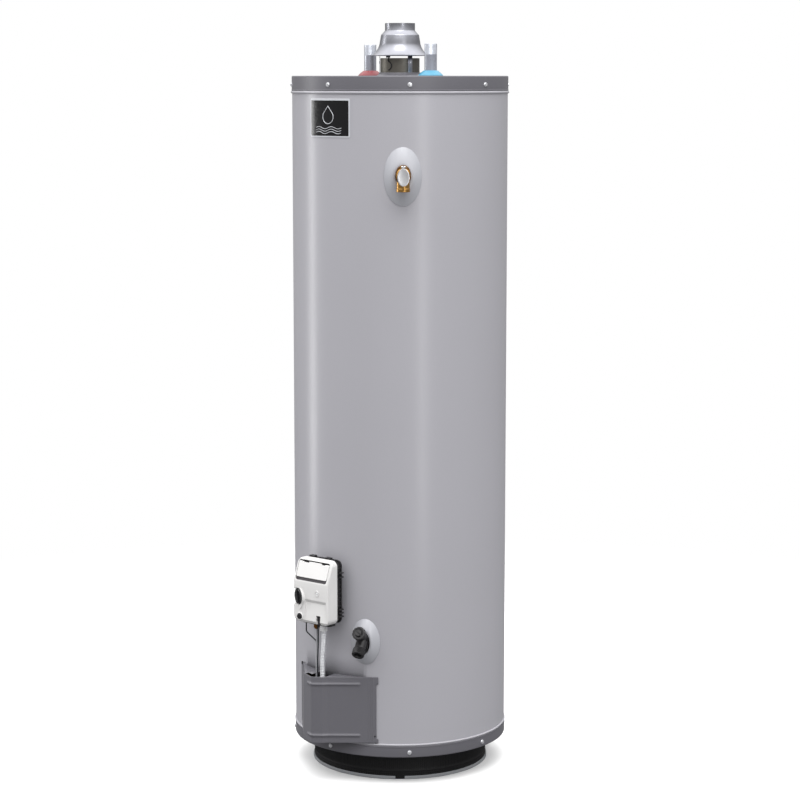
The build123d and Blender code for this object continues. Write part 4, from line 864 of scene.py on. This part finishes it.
# ---------------------------------------------------------------- relief valve
def make_relief_valve():
    """Brass relief valve: rimmed bonnet, tapped outlet, stem button, lever on its pin, and tag."""
    face = outward(RELIEF_ANGLE, 0, RELIEF_Z)
    bonnet = outward(RELIEF_ANGLE, 0, BONNET_Z)
    base = lathe([(13, 200), (13, 243.2)], face, 48)
    nut = prism(polygon(15.4, 6), 243, 251, face)
    shell = lathe([(15.0, 250.9), (15.2, 251.6), (15.2, 255), (14.4, 256), (14.4, 258.5), (15.2, 259.4),
                   (15.2, 266.5), (14.5, 268.8), (12.9, 270.0), (12.3, 270.3), (12, 271), (12, 273.4),
                   (11.4, 274), (3.1, 274), (3.1, 268)], bonnet, 64)
    ears = [prism(rectangle(2.0, 9, 0.9, (x, PIVOT_Z - 1.6 - BONNET_Z)), 262, 280.4, bonnet)
            for x in (-5.4, 5.4)]
    piece("relief_valve_bonnet", [base, nut, shell] + ears, BRASS,
          replaces=["relief_valve_body"], bevel=0.35)
    hood = [(15.5, 20.4, 251.2), (15.8, 20.7, 252), (15.8, 20.7, 266.8), (15.2, 20.1, 268.2),
            (13.4, 18.3, 268.9), (12.6, 17.5, 268.9), (12.6, 17.5, 251.2)]
    turns = 72

    def on_hood(i, j):
        wide, tall, out = hood[j % len(hood)]
        turn = 2 * math.pi * i / turns
        return bonnet @ Vector((wide * math.cos(turn), tall * math.sin(turn), out))

    piece("relief_bonnet_rim", grid(turns, len(hood) + 1, on_hood, wrap=True), BROWN_BRASS)
    x, y, z = spot(RELIEF_ANGLE, 259, 1249)
    outlet = [(12.1, 18), (12.1, 0.9), (12.7, 0), (13.7, 0), (14.2, 0.5), (14.2, 6.4), (13.5, 7.2),
              (13.5, 22), (12.5, 34)]
    piece("relief_outlet", lathe(outlet + [(8, 34), (8, 18)], upright(x, y, z), 48, closed=True),
          BRASS, bevel=0.25)
    across = sideways(outward(RELIEF_ANGLE, PIVOT_OUT, PIVOT_Z))
    eye = lathe([(1.3, -4.0), (2.3, -4.0), (2.3, 4.0), (1.3, 4.0)], across, 32, closed=True)
    rod = [(0, -6.8), (0.9, -6.8), (1.15, -6.5), (1.15, 6.5), (0.9, 6.8), (0, 6.8)]
    piece("relief_pivot_pin", lathe(rod, across, 24), ZINC, replaces=["relief_lever_pin"])
    button = [(0, 262), (2.9, 262), (2.9, 275.6), (2.4, 276.3), (0, 276.3)]
    piece("relief_stem_button", lathe(button, bonnet, 32), BRASS, body="relief_stem",
          replaces=["relief_valve_stem"])
    plate = outward(RELIEF_ANGLE, 276.6, 1282)
    strip = prism(rectangle(7.4, 36, 1.5), 0, 1.8, plate)
    pad = prism(rectangle(14, 8, 3.0, (0, -11)), 0, 1.8, plate)
    piece("relief_lever_plate", [eye, strip, pad], ZINC, body="relief_lever",
          replaces=["relief_valve_lever"], bevel=0.4)
    tag_face = outward(RELIEF_ANGLE, 281, 1279.2)
    dish = [(1.0, 0.0), (1.0, 0.55), (0.93, 0.85), (0.84, 0.6), (0.0, 0.55)]
    oval = stack([[tag_face @ Vector((x, y, rise)) for x, y in ellipse(12.1 * share, 18 * share, 56)]
                  for share, rise in dish])
    neck = prism(rectangle(3.4, 8.6, 1.2, (0, 19.6)), 0.0, 0.8, tag_face)
    hook = prism(rectangle(2.6, 0.9, 0.3, (0, 23.5)), -2.6, 0.8, tag_face)
    back = prism(rectangle(2.6, 1.6, 0.5, (0, 10.8)), -2.6, 0.4, tag_face)
    piece("relief_tag_plate", [oval, neck, hook, back], TAG, body="relief_lever",
          replaces=["relief_valve_tag"], sharp=40)


# ---------------------------------------------------------------- drain valve
def make_drain_valve():
    """Moulded drain valve: shank, body, hose outlet with its thread, and the slotted knob."""
    face = outward(DRAIN_ANGLE, 0, DRAIN_Z + 1)
    block = prism(rectangle(22, 42, 10), 236, 248, face)
    neck = prism(rectangle(18, 34, 8, (0, 7)), 244, 254, face)
    stem = outward(DRAIN_ANGLE, *STEM_ROOT, DRAIN_TILT)
    boss = lathe([(10.5, -6), (10.5, 13.5), (9.8, 15.3), (5.2, 15.5), (5.2, 8)], stem, 48)
    ribs = [prism(rectangle(1.6, 26, 0.5, (x, 5)), 246, 257, face) for x in (-7.4, 0, 7.4)]
    piece("drain_valve_casting", [block, neck, boss] + ribs, BLACK,
          replaces=["drain_valve_body"], bevel=1.0)
    outlet = outward(DRAIN_ANGLE, *OUTLET_ROOT, -OUTLET_TILT)
    turns = [(13.4, 18 + 0.55 * k) for k in range(24)]
    wall = [(11.5, -4), (11.5, 16.8), (13.2, 17.4)] + turns
    wall += [(12.6, 31.6), (12.2, 32), (8.6, 32), (8, 31.2), (8, 4), (0, 4)]
    piece("drain_hose_outlet", lathe(wall, outlet, 64, shape=thread(13.4, 2.2, 1.1, 17.9)), BLACK, sharp=60)
    lobes = 12

    def scallop(r, h, turn):
        return r if r < 13.4 else r - 1.0 * smooth(0.55, 1.0, math.cos(lobes * turn))

    rim = [(0, 16), (13.1, 16), (14.3, 17.1), (14.5, 18), (14.5, 22), (14.0, 23.4), (12.9, 24),
           (10.8, 24), (10.0, 23), (8.2, 22.6), (7.4, 23.4), (7.0, 24.2), (6.8, 26.0), (6.2, 26.5),
           (0, 26.5)]
    knob = mesh_object("drain_knob", lathe(rim, stem, 144, shape=scallop))
    slot_turn = Matrix.Rotation(math.radians(-35), 4, "Z")
    carve(knob, [prism(rectangle(16, 2.4), 22.6, 30, stem @ slot_turn)])
    finish_piece(knob, BLACK, body="drain_stem", replaces=["drain_valve_stem"], sharp=30)


# ---------------------------------------------------------------- gas control
CONTROL_LEFT, CONTROL_RIGHT, PLATE_RIGHT = -50.0, 46.5, 47.2
CONTROL_MID = (CONTROL_LEFT + CONTROL_RIGHT) / 2
COVER_BACK, COVER_FRONT = 258.8, 288.0
COVER_LOW, COVER_HIGH = 346.0, 481.0
SLOPE_LOW, SLOPE_HIGH = (288.0, 432.0), (272.0, 478.0)
SLOPE_TILT = math.degrees(math.atan2(SLOPE_LOW[0] - SLOPE_HIGH[0], SLOPE_HIGH[1] - SLOPE_LOW[1]))
LID_MID = -4.0
NOTCH_X = 17.8
KNOB_X, KNOB_OUT, KNOB_Z, KNOB_TURN = -39.7, 287.0, 399.0, -22.0
DIAL = Matrix.Translation((KNOB_X, -KNOB_OUT, KNOB_Z)) @ outward(KNOB_TURN)
BUTTON_X, BUTTON_Z = -33.0, 357.8
LIGHT_X, LIGHT_Z = 16.0, 412.5
BOSS_X, BOSS_WIDTH = -5.0, 76.0


def side_prism(points, left, right):
    """Outline of (out, height) points carried across from left to right."""
    return stack([[Vector((x, -out, z)) for out, z in points] for x in (left, right)])


def make_control_cover():
    """Moulded cover: rounded block with the lid opening, knob well, sunk panel and cable notch."""
    front = outward(0)
    block = side_prism([(246, COVER_LOW), (COVER_FRONT - 4, COVER_LOW), (COVER_FRONT, COVER_LOW + 6),
                        SLOPE_LOW,
                        SLOPE_HIGH, (268, COVER_HIGH), (246, COVER_HIGH)], CONTROL_LEFT - 5,
                       CONTROL_RIGHT + 5)
    cover = mesh_object("control_cover_shell", block)
    width, tall = CONTROL_RIGHT - CONTROL_LEFT, COVER_HIGH - COVER_LOW
    centre = (CONTROL_MID, (COVER_LOW + COVER_HIGH) / 2)
    carve(cover, [prism(rectangle(width, tall, 13, centre, steps=8), 240, 300, front)], "INTERSECT")
    rounded_edges(cover, 6.5, 6, 20)
    apply_modifiers(cover)
    hollow = side_prism([(250, COVER_LOW + 2.4), (COVER_FRONT - 8, COVER_LOW + 2.4),
                         (COVER_FRONT - 5, COVER_LOW + 8), (SLOPE_LOW[0] - 5, SLOPE_LOW[1] - 1.5),
                         (SLOPE_HIGH[0] - 5, SLOPE_HIGH[1] - 3), (262, COVER_HIGH - 2.4),
                         (250, COVER_HIGH - 2.4)], CONTROL_LEFT + 3,
                        CONTROL_RIGHT - 6)
    slope = outward(0, *SLOPE_LOW, SLOPE_TILT)
    opening = rectangle(87, 43.6, 4.5, (LID_MID, 25.3))
    # the sunk panel is deepest along its top edge and runs out at its foot
    panel = side_prism([(COVER_FRONT - 3.4, 390.5), (COVER_FRONT - 0.1, 352), (COVER_FRONT + 6, 352),
                        (COVER_FRONT + 6, 397), (COVER_FRONT, 397)], -18, 40)
    carve(cover, [
        prism(rectangle(200, 200, 0, centre), 230, COVER_BACK, front),
        hollow,
        prism(opening, -8, 6, slope),
        panel,
        prism(rectangle(12, 22, 1.2, (NOTCH_X, 354)), 262, 300, front),
        prism(ellipse(18.6, 18.6, 72), -18, 20, DIAL),
        prism(ellipse(18.9, 18.9, 72), -1.6, 20, DIAL),
        prism(ellipse(6.2, 6.2, 32, (BUTTON_X, BUTTON_Z)), 262, 300, front),
        prism(ellipse(3.6, 3.6, 24, (LIGHT_X, LIGHT_Z)), 262, 300, front),
        prism(rectangle(BOSS_WIDTH + 1, 22, 4, (BOSS_X, -258)), COVER_LOW - 4, COVER_LOW + 6, upright()),
    ])
    finish_piece(cover, WHITE, replaces=["control_cover"], bevel=0.5, sharp=24)
    cup = [(4.4, -16.5), (4.4, -14.5), (17, -14.5), (17, -2.2), (17.5, -1.5), (18.6, -1.2), (19.4, -2.0),
           (19.8, -5), (19.8, -16.5)]
    piece("knob_cup", lathe(cup, DIAL, 96, closed=True), WHITE)
    # raised lobe that widens round the knob and tapers below it
    top, foot = (KNOB_X, KNOB_Z, 20.5), (-37.3, 380.0, 9.0)
    lobe = arc(top[:2], top[2], -20, 205, 48) + arc(foot[:2], foot[2], 205, 340, 24)
    surround = mesh_object("knob_surround", prism(lobe, 285, 289.8, front))
    carve(surround, [prism(ellipse(19, 19, 72), -30, 30, DIAL), prism(ellipse(40, 40, 48), -1.2, 30, DIAL)])
    finish_piece(surround, WHITE, bevel=0.6)
    ring = [(6.3, 286), (6.3, 288.6), (6.9, 289.2), (7.9, 289.2), (8.6, 288.2), (8.6, 286)]
    bezel = mesh_object("light_bezel",
                        prism(rectangle(8.2, 12.8, 4.0, (LIGHT_X, LIGHT_Z)), 286, 289.2, front))
    carve(bezel, [prism(ellipse(3.6, 3.6, 24, (LIGHT_X, LIGHT_Z)), 280, 300, front)])
    finish_piece(bezel, WHITE, bevel=0.4)
    # strips in the gap below the lid and at the back of the cable notch; their dark grey is painted shade
    trough = prism(rectangle(86, 7.4, 2.4, (LID_MID, 7.4)), -4.6, -2.6, slope)
    notch_back = prism(rectangle(11, 22, 1.0, (NOTCH_X, 356)), 279.4, 281.4, front)
    piece("lid_trough_and_notch_painted_shade", [trough, notch_back], PAINTED_SHADE_GREY)
    piece("button_ring", lathe(ring, outward(0, 0, BUTTON_Z, across=BUTTON_X), 48, closed=True), WHITE)


def make_control_lid():
    """White lid with a middle tongue at its hinge edge, and its two hinge knuckles."""
    slope = outward(0, *SLOPE_LOW, SLOPE_TILT)
    lid = mesh_object("control_lid_panel", prism(rectangle(84, 34.2, 4, (LID_MID, 27.6)), -2, 0, slope))
    slots = [prism(rectangle(wide, 5.4, 1.0, (x, 44.7)), -4, 4, slope)
             for x, wide in ((-28.4, 20.3), (26.9, 21.1))]
    carve(lid, slots)
    finish_piece(lid, WHITE, body="control_lid", replaces=["control_lid"], bevel=0.5)
    across = sideways(slope @ Matrix.Translation((0, 41.5, -3.5)))
    knuckles = [lathe([(1.25, x), (2.5, x), (2.5, x + 10), (1.25, x + 10)], across, 32, closed=True)
                for x in (-44.0, 26.0)]
    piece("control_lid_knuckles", knuckles, WHITE, body="control_lid", bevel=0.2)


def make_control_body():
    """Black back plate with flanges, ribs and snap tabs; the casting behind the cover; the hex shank."""
    front = outward(0)
    centre = ((CONTROL_LEFT + PLATE_RIGHT) / 2, (COVER_LOW + COVER_HIGH) / 2)
    width, tall = PLATE_RIGHT - CONTROL_LEFT, COVER_HIGH - COVER_LOW
    layers = [(244, 247.2, -0.4), (247, 255.8, -2.6), (255.6, COVER_BACK, -0.8)]
    plates = [prism(rectangle(width + 2 * grow, tall + 2 * grow - 0.4, 12, centre, steps=8), low, high, front)
              for low, high, grow in layers]
    ribs = [prism(rectangle(3.2, 1.6, 0, (x, z)), 246, 256, front)
            for x in (CONTROL_LEFT + 1.8, PLATE_RIGHT - 1.8) for z in range(366, 466, 9)]
    ribs += [prism(rectangle(1.6, 3.2, 0, (x, z)), 246, 256, front)
             for x in range(-38, 38, 9) for z in (COVER_LOW + 2.0, COVER_HIGH - 2.0)]
    tabs = [prism(rectangle(8.4, 2.8, 0.8, (50.4, z)), 247, 256, front) for z in (456, 447, 378, 370.5, 363)]
    tabs += [prism(rectangle(14, 5, 1, (x, COVER_HIGH + 0.6)), 247, 256, front) for x in (-27, 16.5)]
    casting = prism(rectangle(56, 66, 4, (14, 392)), 256, 270.6, front)
    recess = prism(rectangle(88, 46, 3, (LID_MID, 448)), 256, 262, front)
    boss = prism(rectangle(BOSS_WIDTH, 21, 4, (BOSS_X, -258)), 340, 352, upright())
    knob_boss = lathe([(4.05, -33), (4.05, -17.6), (7.4, -17.6), (8, -18.2), (8, -33)], DIAL, 40, closed=True)
    inlet = Matrix.Translation((CONTROL_LEFT, -245, 420)) @ Matrix.Rotation(math.radians(-90), 4, "Y")
    port = lathe([(9.3, -8), (9.3, 5.2), (10, 6), (12.4, 6), (13, 5.4), (13, -12)], inlet, 48)
    shank = lathe([(13, 200), (13, 240)], outward(0, 0, 410), 48)
    nut = prism(polygon(19, 6, 0, (0, 410)), 232, 244.4, front)
    piece("control_back_plate", plates + ribs + tabs + [casting, recess, boss, knob_boss, port, shank, nut],
          BLACK, replaces=["gas_valve_body"], bevel=0.3)


def make_control_fittings():
    """Gas knob, igniter button and sight light."""
    def grooved(r, h, turn):
        return r - (0.5 if r > 16.0 and math.cos(36 * turn) > 0.2 else 0.0)

    disc = lathe([(4.1, -9), (16.4, -9), (16.7, -8.4), (16.7, -1.0), (16.2, 0.3), (15, 0.7), (11, 0.1),
                  (5, 0.3), (0, 0.4)], DIAL, 216, shape=grooved)
    grip = prism(rectangle(6.5, 27, 3.0), -1.4, 4, DIAL @ Matrix.Rotation(math.radians(20), 4, "Z"))
    piece("gas_knob_disc", disc, GLOSS_BLACK, body="gas_knob", replaces=["gas_knob"], sharp=30)
    piece("gas_knob_grip", grip, GLOSS_BLACK, body="gas_knob", bevel=1.2)
    place = outward(0, 0, BUTTON_Z, across=BUTTON_X)
    button = [(0, 265), (2.5, 265), (2.5, 279), (5.8, 280), (5.8, 290.6), (5.3, 291.5), (4.0, 291.9),
              (2, 292), (0, 292)]
    piece("igniter_cap", lathe(button, place, 40), GLOSS_BLACK, body="igniter_button",
          replaces=["igniter_button"])
    place = outward(0, 0, LIGHT_Z, across=LIGHT_X)
    lens = [(0, 284), (3.5, 284), (3.5, 288.2), (3.1, 288.9), (1.8, 289.3), (0, 289.4)]
    piece("status_lens", lathe(lens, place, 32), LENS, replaces=["status_light"])


# ---------------------------------------------------------------- tubes and leads
def make_tubes():
    """Gas tube with its flexible stretch, nut and pilot fitting, pilot tube and the two leads."""
    gas_x, feed_x, gas_out, bend, chamber = 9.5, 5.5, 260.0, 24.0, -205.6
    line = [(gas_x, -gas_out, 340), (gas_x, -gas_out, 306), (feed_x, -gas_out, 262),
            (feed_x, -gas_out, 150), (feed_x, chamber, 150)]
    path = resampled(filleted(line, bend, 12), 0.57)

    def corrugated(walked):
        depth = 0.9 * smooth(16, 20, walked) * (1 - smooth(196, 200, walked))
        return 5.8 - depth * (0.5 - 0.5 * math.cos(2 * math.pi * walked / 3.4))

    piece("gas_supply_tube", sweep(path, corrugated, 24), ALUMINIUM, replaces=["gas_tube"], sharp=80)
    nut = upright(gas_x - 0.6, -gas_out)
    body = prism(polygon(9.0, 6, 12), 327.6, 338.6, nut)
    ends = [lathe([(5.7, 327), (7.2, 327), (7.7, 328), (7.7, 329)], nut, 36),
            lathe([(7.7, 338), (7.7, 339.4), (7.2, 340), (5.7, 340)], nut, 36)]
    # the nut's near-white colour is partly a painted highlight
    piece("gas_nut", [body] + ends, NUT_PAINTED_HIGHLIGHT, replaces=["gas_tube_nut"], bevel=0.5)
    fitting_x, pilot_x = -9.5, -10.5
    fit = upright(fitting_x, -261)
    piece("pilot_union", [prism(polygon(7.3, 6, 10), 332.4, 339.8, fit),
                          lathe([(2.4, 329.6), (4.4, 329.6), (4.9, 330.2), (4.9, 332.6)], fit, 32)],
          BROWN_BRASS, replaces=["pilot_fitting"], bevel=0.35)
    pilot = [(fitting_x, -261, 336), (fitting_x, -261, 300), (pilot_x, -261, 258), (pilot_x, -261, 176),
             (pilot_x, chamber, 176)]
    lead = [(-1.2, -266, 340), (-1.2, -266, 300), (-3.4, -266, 262), (-3.4, -266, 187),
            (-3.4, chamber, 187)]
    spark = [(-38.5, -262, 340), (-38.5, -262, 319), (-14, -257, 301), (-14, -257, 165),
             (-14, chamber, 165)]
    for name, node, finish, line, corner, steps, step, radius, sides in (
            ("pilot_supply_tube", "pilot_tube", DULL_TUBE, pilot, bend, 12, 4, 2.1, 16),
            ("thermopile_cable", "thermopile_lead", SLEEVE, lead, bend, 12, 3, 1.5, 14),
            ("igniter_cable", "igniter_lead", SLEEVE, spark, 8, 10, 2, 1.4, 14)):
        path = resampled(filleted(line, corner, steps), step)
        piece(name, sweep(path, radius, sides), finish, replaces=[node])


# ---------------------------------------------------------------- outer burner door
TUBE_GAP = (-33.0, 20.0)


def make_door():
    """Folded sheet door: pressed ribs, hem beads, corner tabs, turned-back top edge, clip and stud."""
    plan = filleted([(-104, -205.6), (-95.5, -211.4), (-36, -274), (0, -289.5), (18.5, -276.5),
                     (26.5, -267.5), (95.5, -211.3), (110, -202.4)], 9, 8)
    path = resampled([(p.x, p.y, 0) for p in plan], 1.4)
    walked = [0.0]
    for a, b in zip(path, path[1:]):
        walked.append(walked[-1] + (b - a).length)
    total = walked[-1]
    rows = [DOOR_LOW + (DOOR_HIGH - DOOR_LOW) * j / 104 for j in range(105)]
    ribs, beads = (216.5, 105.8), (total - 20.0, total - 15.5, total - 11.0)

    def point(i, j):
        here = path[i]
        along = (path[min(i + 1, len(path) - 1)] - path[max(i - 1, 0)]).normalized()
        out = Vector((along.y, -along.x, 0))
        z, s = rows[j], walked[i]
        rib_ends = smooth(112, 120, s) * (1 - smooth(total - 42, total - 36, s))
        raised = sum(2.2 * math.exp(-(((z - rib) / 2.6) ** 2)) for rib in ribs) * rib_ends
        raised += sum(0.9 * math.exp(-(((s - bead) / 1.1) ** 2)) for bead in beads)
        return here + out * (raised + 0.45) + Vector((0, 0, z))

    def keep(i, j):
        s, z = walked[i], rows[j]
        edge = s > total - 4.6
        notched = edge and DOOR_LOW + 9 < z < DOOR_HIGH - 16
        left_edge = s < 3.0 and not (DOOR_LOW + 12 < z < DOOR_HIGH - 8)
        return not (notched or left_edge)

    piece("burner_door_sheet", grid(len(path), len(rows), point, keep), DOOR_PAINT, body="outer_door",
          replaces=["outer_burner_door"], thick=0.9, sharp=60)
    # the top edge turns back towards the jacket, and is cut away where the tubes and leads go through
    ends = [i for i, s in enumerate(walked) if 5.0 < s < total - 5.0]
    shares = (0.0, 0.25, 0.5, 0.75, 1.0)

    def shelf(i, j):
        here = path[ends[i]]
        inner = here.normalized() * (JACKET_R + 1.6)
        return here.lerp(inner, shares[j]) + Vector((0, 0, DOOR_HIGH - 1.0))

    def solid(i, j):
        x = path[ends[i]].x
        return not TUBE_GAP[0] < x < TUBE_GAP[1] or (x < TUBE_GAP[0] + 14 and j > 0)

    piece("burner_door_top", grid(len(ends), len(shares), shelf, solid), DOOR_PAINT, body="outer_door",
          thick=0.8)
    clip = prism(rectangle(3.4, 7.0, 1.0), 0.0, 3.0, outward(-24.2, 231.6, 231.8))
    near = min(range(len(path)), key=lambda i: abs(walked[i] - (total - 6.6)))
    angle = math.degrees(math.atan2(path[near].x, -path[near].y))
    stud = lathe([(0, 0), (1.5, 0), (1.5, 1.2), (1.1, 1.5), (0, 1.5)],
                 outward(angle, path[near].length, 104.5), 20)
    piece("burner_door_clip", [clip, stud], BLACK, body="outer_door", bevel=0.3)


for make in (make_jacket, make_covers, make_screws, make_badge, make_base, make_hood, make_flue, make_nipples,
             make_escutcheons, make_relief_valve, make_drain_valve, make_control_cover, make_control_lid,
             make_control_body, make_control_fittings, make_tubes, make_door):
    make()
